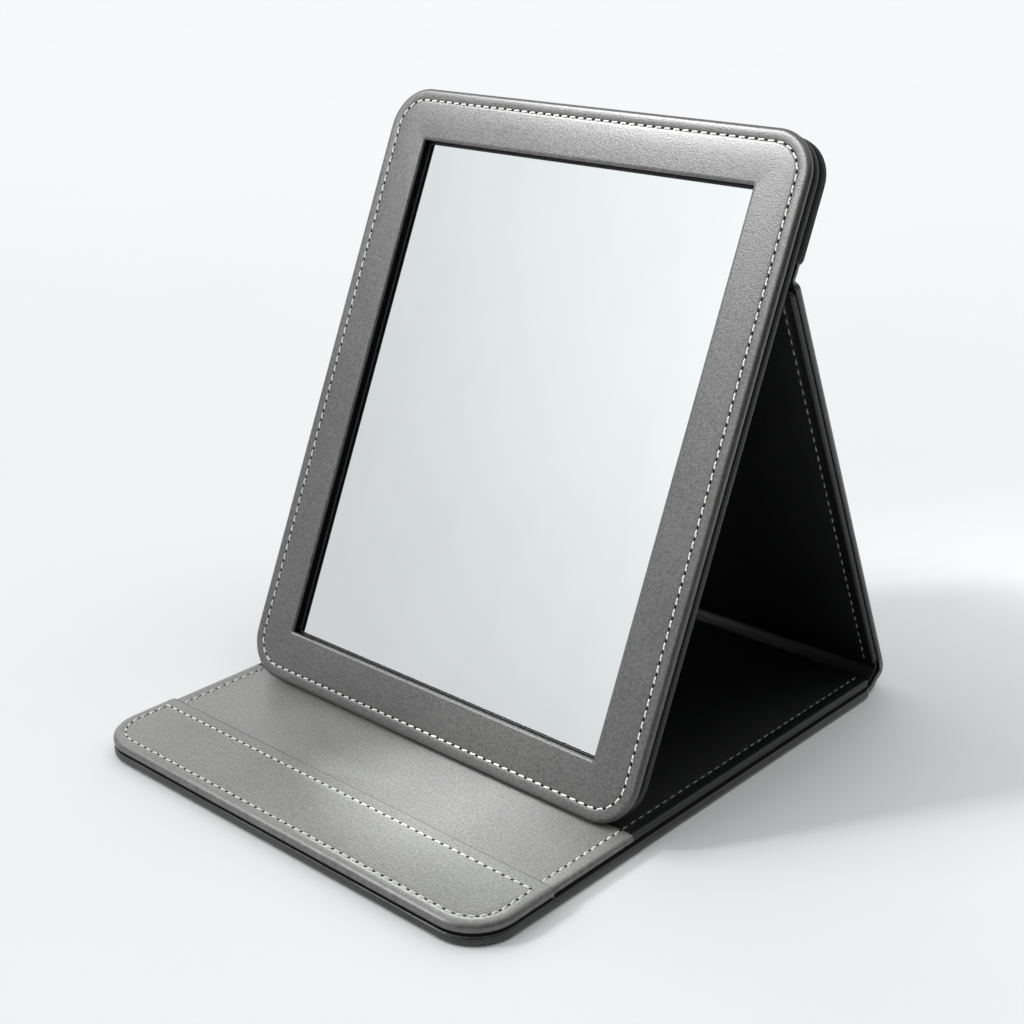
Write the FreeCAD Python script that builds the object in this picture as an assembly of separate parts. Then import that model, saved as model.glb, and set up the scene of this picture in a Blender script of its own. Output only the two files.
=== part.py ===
import FreeCAD, Part
import math
import os

# Folding tabletop mirror, millimetres, X right, Y to the back, Z up.
# The origin is the middle of the footprint, on the underside of the base.

# Closed case
panel_width = 180.0
panel_height = 223.2

# Base
base_side_overhang = 1.2
base_end_overhang = 0.2
base_corner_radius = 16.0
base_rear_corner_radius = 3.0
base_outer_thickness = 3.8
base_outer_lower_edge_radius = 1.2
base_outer_upper_edge_radius = 1.5
base_inner_thickness = 3.2
base_inner_lower_edge_radius = 1.0
base_inner_upper_edge_radius = 1.3
base_stitch_inset = 5.0
base_stitch_end_gap = 1.6
lining_split_lead = 1.6
outer_leather_thickness = 0.8
lining_thickness = 0.7

# Raised strip at the front of the base
strip_depth = 33.0
strip_thickness = 0.8
strip_tuck_gap = 0.25
strip_lower_edge_radius = 0.5
strip_stitch_inset = 4.4
strip_stitch_rear_inset = 4.5
strip_stitch_start_gap = 1.0

# Closure plates under the strip
keeper_length = 24.0
keeper_depth = 8.0
keeper_thickness = 1.2
keeper_setback = 9.0
closure_spacing_share = 2 / 3

# Spine between the base and the leg
spine_radius = 1.1
spine_run = 7.0
spine_low_height = 3.2
spine_lining_thickness = 0.6
spine_lining_share = 0.5
hinge_clearance = 0.3

# Leg
leg_angle_deg = 65.0
leg_corner_radius = 2.5
leg_outer_thickness = 2.4
leg_outer_offset = 1.8
leg_outer_edge_radius = 0.9
leg_inner_thickness = 2.3
leg_inner_inset = 0.8
leg_inner_face_edge_radius = 1.1
leg_inner_seam_edge_radius = 0.8
leg_lower_gap = 3.0
leg_upper_gap = 2.8
leg_stitch_inset = 4.3
leg_stitch_end_gap = 1.4

# Upper hinge between the leg and the mirror
hinge_side_inset = 1.0
hinge_radius = 0.8
hinge_depth = 9.6
hinge_rise = 3.3

# Mirror panel
panel_corner_radius = 15.0
frame_margin = 18.7
frame_thickness = 3.4
frame_front_edge_radius = 1.6
frame_seam_edge_radius = 1.75
frame_leather_thickness = 0.9
frame_stitch_inset = 4.5
liner_thickness = 0.6
back_thickness = 3.8
back_seam_edge_radius = 1.5
back_side_inset = 0.1
back_foot_inset = 1.4
foot_edge_radius = 1.6
foot_clearance = 0.14
back_board_thickness = 0.8
glass_thickness = 1.8
glass_overlap = 5.0
glass_clearance = 0.3
tape_thickness = 0.4
tape_inset = 8.0
cover_panel_height = 39.7
cover_panel_thickness = 5.0
cover_panel_corner_radius = 14.0
cover_panel_lower_corner_radius = 2.0
cover_panel_inset = 0.2
cover_panel_outer_edge_radius = 2.2
cover_panel_seam_edge_radius = 1.4

# Closure magnets in the frame's upper margin
magnet_radius = 5.0
magnet_thickness = 2.0

# Stitching
thread_width = 0.7
thread_rise = 0.12
groove_width = 0.9
groove_depth = 0.32

# Derived places
footprint_length = panel_height + base_end_overhang
base_width = panel_width + 2 * base_side_overhang
panel_half = panel_width / 2
closure_spacing = closure_spacing_share * panel_width
base_top = base_outer_thickness + base_inner_thickness
base_front = -footprint_length / 2
leg_axis_y = footprint_length / 2 - spine_radius
spine_axis_y = leg_axis_y - spine_run
base_rear = spine_axis_y - spine_radius - hinge_clearance
foot_axis_height = base_top + foot_edge_radius + foot_clearance
spine_rise = foot_axis_height - spine_low_height
spine_length = math.hypot(spine_run, spine_rise)
spine_angle_deg = math.degrees(math.atan2(spine_rise, spine_run))
panel_lower_thickness = frame_thickness + back_thickness
foot_depth = panel_lower_thickness - foot_edge_radius
foot_axis_rise = back_foot_inset + foot_edge_radius
cover_high = panel_height - cover_panel_inset
cover_panel_low = cover_high - cover_panel_height
cover_axis_height = cover_panel_low - hinge_radius - hinge_clearance
cover_axis_depth = panel_lower_thickness + cover_panel_thickness / 2
upper_axis_height = cover_axis_height - hinge_rise
pivot_length = math.hypot(upper_axis_height - foot_axis_rise, hinge_depth - foot_depth)
lean_deg = math.degrees(math.asin((hinge_depth - foot_depth) / pivot_length))
mirror_angle_deg = leg_angle_deg + lean_deg
foot_axis_y = leg_axis_y - 2 * pivot_length * math.cos(math.radians(leg_angle_deg))
lining_split = foot_axis_y - lining_split_lead


def reduced(radius, inset):
    """Corner radius of an outline that lies a distance inside another one."""
    return max(radius - inset, 0)


def outline(half_width, y_low, y_high, radius_low, radius_high):
    """Closed rectangle outline with one radius for the low corners and one for the high ones."""
    corners = [
        (-half_width, y_low, radius_low, (1, 0), (0, 1)),
        (half_width, y_low, radius_low, (0, 1), (-1, 0)),
        (half_width, y_high, radius_high, (-1, 0), (0, -1)),
        (-half_width, y_high, radius_high, (0, -1), (1, 0)),
    ]
    diagonal_share = 1 - math.sqrt(0.5)
    points = []
    for x, y, radius, leave, arrive in corners:
        start = FreeCAD.Vector(x + arrive[0] * radius, y + arrive[1] * radius, 0)
        end = FreeCAD.Vector(x + leave[0] * radius, y + leave[1] * radius, 0)
        reach = radius * diagonal_share
        middle = FreeCAD.Vector(x + (leave[0] + arrive[0]) * reach, y + (leave[1] + arrive[1]) * reach, 0)
        points.append((start, middle, end, radius))
    edges = []
    for index, (start, middle, end, radius) in enumerate(points):
        if radius > 0:
            edges.append(Part.Arc(start, middle, end).toShape())
        following = points[(index + 1) % len(points)][0]
        edges.append(Part.makeLine(end, following))
    return Part.Wire(edges)


def prism(half_width, y_low, y_high, z_low, z_high, radius_low=0, radius_high=0):
    """Upright block on a rounded outline."""
    face = Part.Face(outline(half_width, y_low, y_high, radius_low, radius_high))
    face.translate(FreeCAD.Vector(0, 0, z_low))
    return face.extrude(FreeCAD.Vector(0, 0, z_high - z_low))


def box(x_low, x_high, y_low, y_high, z_low, z_high):
    """Block between two opposite corners."""
    corner = FreeCAD.Vector(x_low, y_low, z_low)
    return Part.makeBox(x_high - x_low, y_high - y_low, z_high - z_low, corner)


def soften(solid, level, radius):
    """Round every edge that lies in one horizontal plane."""
    slack_share = 0.01
    slack = slack_share * radius
    edges = []
    for edge in solid.Edges:
        bounds = edge.BoundBox
        if abs(bounds.ZMin - level) < slack and abs(bounds.ZMax - level) < slack:
            edges.append(edge)
    return solid.makeFillet(radius, edges)


def capsule(width, length, radius):
    """Strip with round ends about two axes that lie along X, the first through the origin."""
    half_width = width / 2
    low_side = FreeCAD.Vector(-half_width, 0, -radius)
    high_side = FreeCAD.Vector(-half_width, 0, radius)
    low_far = FreeCAD.Vector(-half_width, length, -radius)
    high_far = FreeCAD.Vector(-half_width, length, radius)
    near_end = FreeCAD.Vector(-half_width, -radius, 0)
    far_end = FreeCAD.Vector(-half_width, length + radius, 0)
    edges = [
        Part.makeLine(low_side, low_far),
        Part.Arc(low_far, far_end, high_far).toShape(),
        Part.makeLine(high_far, high_side),
        Part.Arc(high_side, near_end, low_side).toShape(),
    ]
    face = Part.Face(Part.Wire(edges))
    return face.extrude(FreeCAD.Vector(width, 0, 0))


def ring(half_width, y_low, y_high, radius_low, radius_high, breadth, z_low, z_high):
    """Closed band of even breadth that follows an outline."""
    half = breadth / 2
    round_low = radius_low > half
    round_high = radius_high > half
    outer_low = radius_low + half if round_low else 0
    outer_high = radius_high + half if round_high else 0
    inner_low = radius_low - half if round_low else 0
    inner_high = radius_high - half if round_high else 0
    outer = prism(half_width + half, y_low - half, y_high + half, z_low, z_high, outer_low, outer_high)
    inner = prism(half_width - half, y_low + half, y_high - half, z_low, z_high, inner_low, inner_high)
    return outer.cut(inner)


def side_bands(x, y_low, y_high, breadth, z_low, z_high):
    """Two straight bands, one near each side."""
    half = breadth / 2
    bands = []
    for side in (-1, 1):
        bands.append(box(side * x - half, side * x + half, y_low, y_high, z_low, z_high))
    return Part.makeCompound(bands)


def turned(shape, angle_deg, y, z):
    """Turn a shape about the X axis, then carry its origin to a place in the side view."""
    rotation = FreeCAD.Rotation(FreeCAD.Vector(1, 0, 0), angle_deg)
    moved = shape.copy()
    moved.Placement = FreeCAD.Placement(FreeCAD.Vector(0, y, z), rotation)
    return moved


parts = {}

# Base, lower layer
outer_half = base_width / 2
outer_slab = prism(outer_half, base_front, base_rear, 0, base_outer_thickness,
                   base_corner_radius, base_rear_corner_radius)
outer_slab = soften(outer_slab, 0, base_outer_lower_edge_radius)
outer_slab = soften(outer_slab, base_outer_thickness, base_outer_upper_edge_radius)
outer_board = prism(outer_half - outer_leather_thickness - base_outer_upper_edge_radius,
                    base_front + outer_leather_thickness + base_outer_upper_edge_radius,
                    base_rear - outer_leather_thickness - base_outer_upper_edge_radius,
                    outer_leather_thickness, base_outer_thickness,
                    reduced(base_corner_radius, outer_leather_thickness + base_outer_upper_edge_radius),
                    reduced(base_rear_corner_radius, outer_leather_thickness + base_outer_upper_edge_radius))
parts["base_outer_board"] = outer_board
parts["base_outer_leather"] = outer_slab.cut(outer_board)

# Base, upper layer
inner_half = outer_half - strip_thickness
inner_front = base_front + strip_thickness
inner_slab = prism(inner_half, inner_front, base_rear, base_outer_thickness, base_top,
                   reduced(base_corner_radius, strip_thickness), base_rear_corner_radius)
inner_slab = soften(inner_slab, base_outer_thickness, base_inner_lower_edge_radius)
inner_slab = soften(inner_slab, base_top, base_inner_upper_edge_radius)
inner_board_inset = lining_thickness + base_inner_lower_edge_radius
inner_board = prism(inner_half - inner_board_inset, inner_front + inner_board_inset,
                    base_rear - inner_board_inset, base_outer_thickness, base_top - lining_thickness,
                    reduced(base_corner_radius, strip_thickness + inner_board_inset),
                    reduced(base_rear_corner_radius, inner_board_inset))
lining = inner_slab.cut(inner_board)
base_stitch_x = inner_half - base_stitch_inset
stitch_start = base_front + strip_depth + strip_stitch_start_gap
stitch_end = base_rear - base_stitch_end_gap
groove_floor = base_top - groove_depth
lining = lining.cut(side_bands(base_stitch_x, stitch_start, stitch_end, groove_width, groove_floor, base_top))
front_half_space = box(-base_width, base_width, base_front - strip_depth, lining_split, 0, 2 * base_top)
parts["base_front_lining"] = lining.common(front_half_space)
parts["base_rear_lining"] = lining.cut(front_half_space)
parts["base_stitching"] = side_bands(base_stitch_x, stitch_start, stitch_end, thread_width,
                                     groove_floor, base_top + thread_rise)

# Closure plates, let into the upper board from below
keepers = []
for side in (-1, 1):
    middle_x = side * closure_spacing / 2
    middle_y = base_front + keeper_setback
    keepers.append(box(middle_x - keeper_length / 2, middle_x + keeper_length / 2,
                       middle_y - keeper_depth / 2, middle_y + keeper_depth / 2,
                       base_outer_thickness, base_outer_thickness + keeper_thickness))
parts["strip_keepers"] = Part.makeCompound(keepers)
for keeper in keepers:
    inner_board = inner_board.cut(keeper)
parts["base_inner_board"] = inner_board

# Raised strip, wrapped round the front of the upper layer
strip_top = base_top + strip_thickness
strip_floor = base_outer_thickness + strip_tuck_gap
strip_rear = base_front + strip_depth
strip = prism(outer_half, base_front, base_rear, strip_floor, strip_top,
              base_corner_radius, base_rear_corner_radius)
strip = soften(strip, strip_floor, strip_lower_edge_radius)
strip = soften(strip, strip_top, base_inner_upper_edge_radius + strip_thickness)
strip = strip.common(box(-base_width, base_width, base_front - strip_depth, strip_rear, 0, 2 * base_top))
strip = strip.cut(inner_slab)
loop_half = outer_half - strip_stitch_inset
loop_front = base_front + strip_stitch_inset
loop_rear = strip_rear - strip_stitch_rear_inset
loop_radius = reduced(base_corner_radius, strip_stitch_inset)
strip_groove_floor = strip_top - groove_depth
strip = strip.cut(ring(loop_half, loop_front, loop_rear, loop_radius, 0, groove_width,
                       strip_groove_floor, strip_top))
parts["front_strip_leather"] = strip
parts["strip_stitching"] = ring(loop_half, loop_front, loop_rear, loop_radius, 0, thread_width,
                                strip_groove_floor, strip_top + thread_rise)

# Spine, built along its own length, then turned
spine_strip = capsule(panel_width, spine_length, spine_radius)
lining_reach = spine_length * spine_lining_share / 2
spine_middle = spine_length / 2
spine_lining = box(-panel_half, panel_half, spine_middle - lining_reach, spine_middle + lining_reach,
                   spine_radius, spine_radius + spine_lining_thickness)
parts["spine_leather"] = turned(spine_strip, spine_angle_deg, spine_axis_y, spine_low_height)
parts["spine_lining"] = turned(spine_lining, spine_angle_deg, spine_axis_y, spine_low_height)

# Leg, built flat with its inner face up, then turned
leg_outer_low = spine_radius + hinge_clearance
leg_outer_high = pivot_length - hinge_radius - hinge_clearance
leg_floor = -leg_outer_offset
leg_seam = leg_floor + leg_outer_thickness
leg_outer = prism(panel_half, leg_outer_low, leg_outer_high, leg_floor, leg_seam, leg_corner_radius,
                  leg_corner_radius)
leg_outer = soften(leg_outer, leg_floor, leg_outer_edge_radius)
leg_outer = soften(leg_outer, leg_seam, leg_outer_edge_radius)
leg_board_inset = outer_leather_thickness + leg_outer_edge_radius
leg_outer_board = prism(panel_half - leg_board_inset, leg_outer_low + leg_board_inset,
                        leg_outer_high - leg_board_inset, leg_floor + outer_leather_thickness, leg_seam,
                        reduced(leg_corner_radius, leg_board_inset),
                        reduced(leg_corner_radius, leg_board_inset))
leg_inner_half = panel_half - leg_inner_inset
leg_inner_high = pivot_length - leg_upper_gap
leg_top = leg_seam + leg_inner_thickness
leg_inner = prism(leg_inner_half, leg_lower_gap, leg_inner_high, leg_seam, leg_top, leg_corner_radius,
                  leg_corner_radius)
leg_inner = soften(leg_inner, leg_seam, leg_inner_seam_edge_radius)
leg_inner = soften(leg_inner, leg_top, leg_inner_face_edge_radius)
leg_inner_board_inset = lining_thickness + leg_inner_seam_edge_radius
leg_inner_board = prism(leg_inner_half - leg_inner_board_inset, leg_lower_gap + leg_inner_board_inset,
                        leg_inner_high - leg_inner_board_inset, leg_seam, leg_top - lining_thickness,
                        reduced(leg_corner_radius, leg_inner_board_inset),
                        reduced(leg_corner_radius, leg_inner_board_inset))
leg_stitch_x = leg_inner_half - leg_stitch_inset
leg_stitch_low = leg_lower_gap + leg_stitch_end_gap
leg_stitch_high = leg_inner_high - leg_stitch_end_gap
leg_groove_floor = leg_top - groove_depth
leg_inner_leather = leg_inner.cut(leg_inner_board)
leg_inner_leather = leg_inner_leather.cut(side_bands(leg_stitch_x, leg_stitch_low, leg_stitch_high,
                                                     groove_width, leg_groove_floor, leg_top))
leg_thread = side_bands(leg_stitch_x, leg_stitch_low, leg_stitch_high, thread_width,
                        leg_groove_floor, leg_top + thread_rise)
leg_turn_deg = 180 - leg_angle_deg
leg_pieces = {
    "leg_outer_leather": leg_outer.cut(leg_outer_board),
    "leg_outer_board": leg_outer_board,
    "leg_inner_leather": leg_inner_leather,
    "leg_inner_board": leg_inner_board,
    "leg_stitching": leg_thread,
}
for name, shape in leg_pieces.items():
    parts[name] = turned(shape, leg_turn_deg, leg_axis_y, foot_axis_height)

# Mirror panel, built flat with its face up, then turned
frame_slab = prism(panel_half, 0, panel_height, -frame_thickness, 0, panel_corner_radius, panel_corner_radius)
frame_slab = soften(frame_slab, -frame_thickness, frame_seam_edge_radius)
frame_slab = soften(frame_slab, 0, frame_front_edge_radius)
frame_board_inset = frame_leather_thickness + frame_seam_edge_radius
frame_board_radius = reduced(panel_corner_radius, frame_board_inset)
frame_board = prism(panel_half - frame_board_inset, frame_board_inset, panel_height - frame_board_inset,
                    -frame_thickness, -frame_leather_thickness, frame_board_radius, frame_board_radius)
window_half = panel_half - frame_margin
window_low = frame_margin
window_high = panel_height - frame_margin
window = prism(window_half, window_low, window_high, -frame_thickness, 0)
liner_outer = prism(window_half + liner_thickness, window_low - liner_thickness,
                    window_high + liner_thickness, -frame_thickness, -frame_leather_thickness)
frame_leather = frame_slab.cut(frame_board).cut(window)
frame_loop_half = panel_half - frame_stitch_inset
frame_loop_high = panel_height - frame_stitch_inset
frame_loop_radius = reduced(panel_corner_radius, frame_stitch_inset)
frame_leather = frame_leather.cut(ring(frame_loop_half, frame_stitch_inset, frame_loop_high,
                                       frame_loop_radius, frame_loop_radius, groove_width, -groove_depth, 0))
frame_thread = ring(frame_loop_half, frame_stitch_inset, frame_loop_high, frame_loop_radius,
                    frame_loop_radius, thread_width, -groove_depth, thread_rise)
frame_board = frame_board.cut(liner_outer)
magnets = []
for side in (-1, 1):
    place = FreeCAD.Vector(side * closure_spacing / 2, panel_height - frame_margin / 2, -frame_thickness)
    magnets.append(Part.makeCylinder(magnet_radius, magnet_thickness, place))
for magnet in magnets:
    frame_board = frame_board.cut(magnet)

# Back layer of the panel, which holds the glass
back_floor = -panel_lower_thickness
back_half = panel_half - back_side_inset
back_low = back_foot_inset
back_high = panel_height - back_side_inset
back_slab = prism(back_half, back_low, back_high, back_floor, -frame_thickness, panel_corner_radius,
                  panel_corner_radius)
back_slab = soften(back_slab, back_floor, foot_edge_radius)
back_slab = soften(back_slab, -frame_thickness, back_seam_edge_radius)
tray_inset = outer_leather_thickness + foot_edge_radius
tray_half = back_half - tray_inset
tray_low = back_low + tray_inset
tray_high = back_high - tray_inset
tray_radius = reduced(panel_corner_radius, tray_inset)
tray_floor = back_floor + outer_leather_thickness
tray = prism(tray_half, tray_low, tray_high, tray_floor, -frame_thickness, tray_radius, tray_radius)
back_board_top = tray_floor + back_board_thickness
back_board = prism(tray_half, tray_low, tray_high, tray_floor, back_board_top, tray_radius, tray_radius)
glass_half = window_half + glass_overlap
glass_low = window_low - glass_overlap
glass_high = window_high + glass_overlap
glass_floor = -frame_thickness - glass_thickness
glass = prism(glass_half, glass_low, glass_high, glass_floor, -frame_thickness)
tape = prism(glass_half - tape_inset, glass_low + tape_inset, glass_high - tape_inset,
             glass_floor - tape_thickness, glass_floor)
pocket = prism(glass_half + glass_clearance, glass_low - glass_clearance, glass_high + glass_clearance,
               back_board_top, -frame_thickness)
carrier = prism(tray_half, tray_low, tray_high, back_board_top, -frame_thickness, tray_radius, tray_radius)
carrier = carrier.cut(pocket)

# Cover panel bonded to the upper back
cover_half = panel_half - cover_panel_inset
cover_floor = back_floor - cover_panel_thickness
cover_slab = prism(cover_half, cover_panel_low, cover_high, cover_floor, back_floor,
                   cover_panel_lower_corner_radius, cover_panel_corner_radius)
cover_slab = soften(cover_slab, cover_floor, cover_panel_outer_edge_radius)
cover_slab = soften(cover_slab, back_floor, cover_panel_seam_edge_radius)
cover_board_inset = outer_leather_thickness + cover_panel_seam_edge_radius
cover_board = prism(cover_half - cover_board_inset, cover_panel_low + cover_board_inset,
                    cover_high - cover_board_inset, cover_floor + outer_leather_thickness, back_floor,
                    reduced(cover_panel_lower_corner_radius, cover_board_inset),
                    reduced(cover_panel_corner_radius, cover_board_inset))

panel_pieces = {
    "frame_leather": frame_leather,
    "frame_board": frame_board,
    "frame_stitching": frame_thread,
    "frame_magnets": Part.makeCompound(magnets),
    "window_liner": liner_outer.cut(window),
    "mirror_glass": glass,
    "glass_tape": tape,
    "glass_carrier": carrier,
    "back_board": back_board,
    "back_leather": back_slab.cut(tray),
    "cover_panel_board": cover_board,
    "cover_panel_leather": cover_slab.cut(cover_board),
}
tilt = math.radians(mirror_angle_deg)
face_y = foot_axis_y - foot_axis_rise * math.cos(tilt) - foot_depth * math.sin(tilt)
face_z = foot_axis_height - foot_axis_rise * math.sin(tilt) + foot_depth * math.cos(tilt)
for name, shape in panel_pieces.items():
    parts[name] = turned(shape, mirror_angle_deg, face_y, face_z)

# Upper hinge strip, from the leg's upper axis to the cover panel's lower axis
hinge_step = cover_axis_depth - hinge_depth
hinge_length = math.hypot(hinge_rise, hinge_step)
hinge_angle_deg = mirror_angle_deg - math.degrees(math.atan2(hinge_step, hinge_rise))
leg_lean = math.radians(leg_angle_deg)
upper_axis_y = leg_axis_y - pivot_length * math.cos(leg_lean)
upper_axis_z = foot_axis_height + pivot_length * math.sin(leg_lean)
hinge_strip = capsule(panel_width - 2 * hinge_side_inset, hinge_length, hinge_radius)
parts["upper_hinge_leather"] = turned(hinge_strip, hinge_angle_deg, upper_axis_y, upper_axis_z)

os.makedirs("parts", exist_ok=True)
for name, shape in parts.items():
    shape.exportStep("parts/" + name + ".step")
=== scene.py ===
"""Looks of a folding tabletop mirror in stitched leather cloth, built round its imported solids."""
import logging
import math
from dataclasses import dataclass, replace
from enum import Enum

import bmesh
import bpy
from mathutils import Matrix, Vector
from mathutils.geometry import interpolate_bezier


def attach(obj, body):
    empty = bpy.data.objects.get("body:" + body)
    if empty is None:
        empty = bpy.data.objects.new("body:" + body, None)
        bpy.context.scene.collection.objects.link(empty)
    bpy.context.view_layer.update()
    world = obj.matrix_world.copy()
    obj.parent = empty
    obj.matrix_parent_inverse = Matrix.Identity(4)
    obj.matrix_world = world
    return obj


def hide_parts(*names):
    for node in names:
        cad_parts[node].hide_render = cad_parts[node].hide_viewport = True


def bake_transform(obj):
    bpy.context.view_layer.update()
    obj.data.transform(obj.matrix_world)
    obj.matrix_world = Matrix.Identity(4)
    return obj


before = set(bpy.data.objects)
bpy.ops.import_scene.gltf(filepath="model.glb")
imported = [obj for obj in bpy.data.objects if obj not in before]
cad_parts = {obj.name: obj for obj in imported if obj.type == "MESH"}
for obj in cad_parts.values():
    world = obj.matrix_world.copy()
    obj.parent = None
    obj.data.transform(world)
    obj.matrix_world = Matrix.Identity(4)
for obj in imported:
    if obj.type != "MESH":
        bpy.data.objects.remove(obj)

log = logging.getLogger("folding_mirror")

MM = 0.001
Pair = tuple[float, float]
Triple = tuple[float, float, float]
Colour = Triple
ZERO: Triple = (0.0, 0.0, 0.0)
SIDES: Pair = (-1.0, 1.0)
HALF = 0.5


class Num:
    """A number on a shader socket, so that shader maths reads as plain expressions."""

    def __init__(self, graph: "Graph", socket: bpy.types.NodeSocket) -> None:
        """Keep the socket and the graph that it belongs to."""
        self.graph = graph
        self.socket = socket

    def _math(self, operation: str, first: "Num | float", second: "Num | float") -> "Num":
        """Add one Math node.

        Args:
            operation: the Math node's operation.
            first: left side.
            second: right side.

        Returns:
            The node's result.
        """
        node = self.graph.node("ShaderNodeMath", {"operation": operation}, {0: first, 1: second})
        return Num(self.graph, node.outputs[0])

    def __add__(self, other: "Num | float") -> "Num":
        """Sum."""
        return self._math("ADD", self, other)

    def __radd__(self, other: float) -> "Num":
        """Sum with a plain number on the left."""
        return self._math("ADD", other, self)

    def __sub__(self, other: "Num | float") -> "Num":
        """Difference."""
        return self._math("SUBTRACT", self, other)

    def __rsub__(self, other: float) -> "Num":
        """Difference from a plain number."""
        return self._math("SUBTRACT", other, self)

    def __mul__(self, other: "Num | float") -> "Num":
        """Product."""
        return self._math("MULTIPLY", self, other)

    def ramp(self, low: float, high: float) -> "Num":
        """Rise smoothly from 0 at one value to 1 at another.

        Args:
            low: value that gives 0.
            high: value that gives 1.

        Returns:
            The eased share.
        """
        node = self.graph.node("ShaderNodeMapRange", {"interpolation_type": "SMOOTHSTEP", "clamp": True},
                               {"Value": self, "From Min": low, "From Max": high})
        return Num(self.graph, node.outputs["Result"])


class Graph:
    """A node tree that is filled through one method."""

    def __init__(self, tree: bpy.types.NodeTree) -> None:
        """Empty the tree."""
        self.tree = tree
        tree.nodes.clear()

    def node(self, kind: str, settings: dict[str, object] | None = None,
             sockets: dict[int | str, object] | None = None) -> bpy.types.Node:
        """Add one node.

        Args:
            kind: the node's type.
            settings: attributes, set before the sockets.
            sockets: a value or a link for each input.

        Returns:
            The node.
        """
        made = self.tree.nodes.new(kind)
        for name, value in (settings or {}).items():
            setattr(made, name, value)
        for key, value in (sockets or {}).items():
            source = value.socket if isinstance(value, Num) else value
            if isinstance(source, bpy.types.NodeSocket):
                self.tree.links.new(source, made.inputs[key])
            else:
                made.inputs[key].default_value = source
        return made

    def place(self, stretch: Triple = (1.0, 1.0, 1.0)) -> bpy.types.NodeSocket:
        """Object coordinates, stretched along the axes.

        Args:
            stretch: factor along each axis.

        Returns:
            The vector socket.
        """
        source = self.node("ShaderNodeTexCoord").outputs["Object"]
        mapped = self.node("ShaderNodeMapping", {}, {"Vector": source, "Scale": stretch})
        return mapped.outputs["Vector"]

    def noise(self, vector: bpy.types.NodeSocket, scale: float, detail: float = 3.0,
              roughness: float = 0.55) -> Num:
        """Cloudy noise from 0 to 1 about a half.

        Args:
            vector: where it is read.
            scale: features per metre.
            detail: octaves.
            roughness: weight of the finer octaves.

        Returns:
            The noise.
        """
        made = self.node("ShaderNodeTexNoise", {"noise_dimensions": "3D"},
                         {"Vector": vector, "Scale": scale, "Detail": detail, "Roughness": roughness})
        return Num(self, made.outputs[0])

    def cells(self, vector: bpy.types.NodeSocket, scale: float) -> Num:
        """Distance to the nearest of scattered points, low in the middle of each cell.

        Args:
            vector: where it is read.
            scale: cells per metre.

        Returns:
            The distance.
        """
        made = self.node("ShaderNodeTexVoronoi", {"feature": "F1"}, {"Vector": vector, "Scale": scale})
        return Num(self, made.outputs["Distance"])

    def attribute(self, name: str) -> Num:
        """A number kept on the piece's own points."""
        return Num(self, self.node("ShaderNodeAttribute", {"attribute_name": name}).outputs["Fac"])

    def tone(self, parts: tuple[Num, ...], shares: tuple[float, ...], spread: Pair) -> Num:
        """Weigh noises against each other and spread the result.

        Args:
            parts: the noises.
            shares: weight of each.
            spread: results that give 0 and 1.

        Returns:
            The tone from 0 to 1.
        """
        first, *others = (part * share for part, share in zip(parts, shares))
        return sum(others, first).ramp(*spread)

    def tint(self, share: Num, first: object, second: object) -> bpy.types.NodeSocket:
        """Mix two colours.

        Args:
            share: 0 for the first, 1 for the second.
            first: a colour or a colour socket.
            second: a colour or a colour socket.

        Returns:
            The mixed colour.
        """
        pair = [(*c, 1.0) if isinstance(c, tuple) else c for c in (first, second)]
        made = self.node("ShaderNodeMix", {"data_type": "RGBA", "clamp_factor": True},
                         {0: share, 6: pair[0], 7: pair[1]})
        return made.outputs[2]

    def bump(self, height: Num, strength: float, depth: float) -> bpy.types.NodeSocket:
        """Surface relief.

        Args:
            height: relief from 0 to 1.
            strength: share of the relief that shows.
            depth: metres that a height of 1 stands for.

        Returns:
            The normal socket.
        """
        made = self.node("ShaderNodeBump", {}, {"Height": height, "Strength": strength, "Distance": depth})
        return made.outputs["Normal"]

    def along(self, vector: bpy.types.NodeSocket, axis: Triple) -> Num:
        """How far a vector reaches along an axis.

        Args:
            vector: the vector.
            axis: the axis, of length 1 for a true distance.

        Returns:
            The reach.
        """
        made = self.node("ShaderNodeVectorMath", {"operation": "DOT_PRODUCT"}, {0: vector, 1: axis})
        return Num(self, made.outputs["Value"])


@dataclass(frozen=True)
class Finish:
    """What every finish has: its own name and the record's slot."""

    name: str
    slot: str

    def paint(self, graph: Graph) -> dict[str, object]:
        """Values and links of the surface shader's sockets."""
        raise NotImplementedError

    def material(self) -> bpy.types.Material:
        """The finish as a material, made once."""
        found = bpy.data.materials.get(self.name)
        if found is not None:
            return found
        made = bpy.data.materials.new(self.name)
        made.use_nodes = True
        graph = Graph(made.node_tree)
        shader = graph.node("ShaderNodeBsdfPrincipled", {}, self.paint(graph))
        graph.node("ShaderNodeOutputMaterial", {}, {"Surface": shader.outputs["BSDF"]})
        return made


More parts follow.
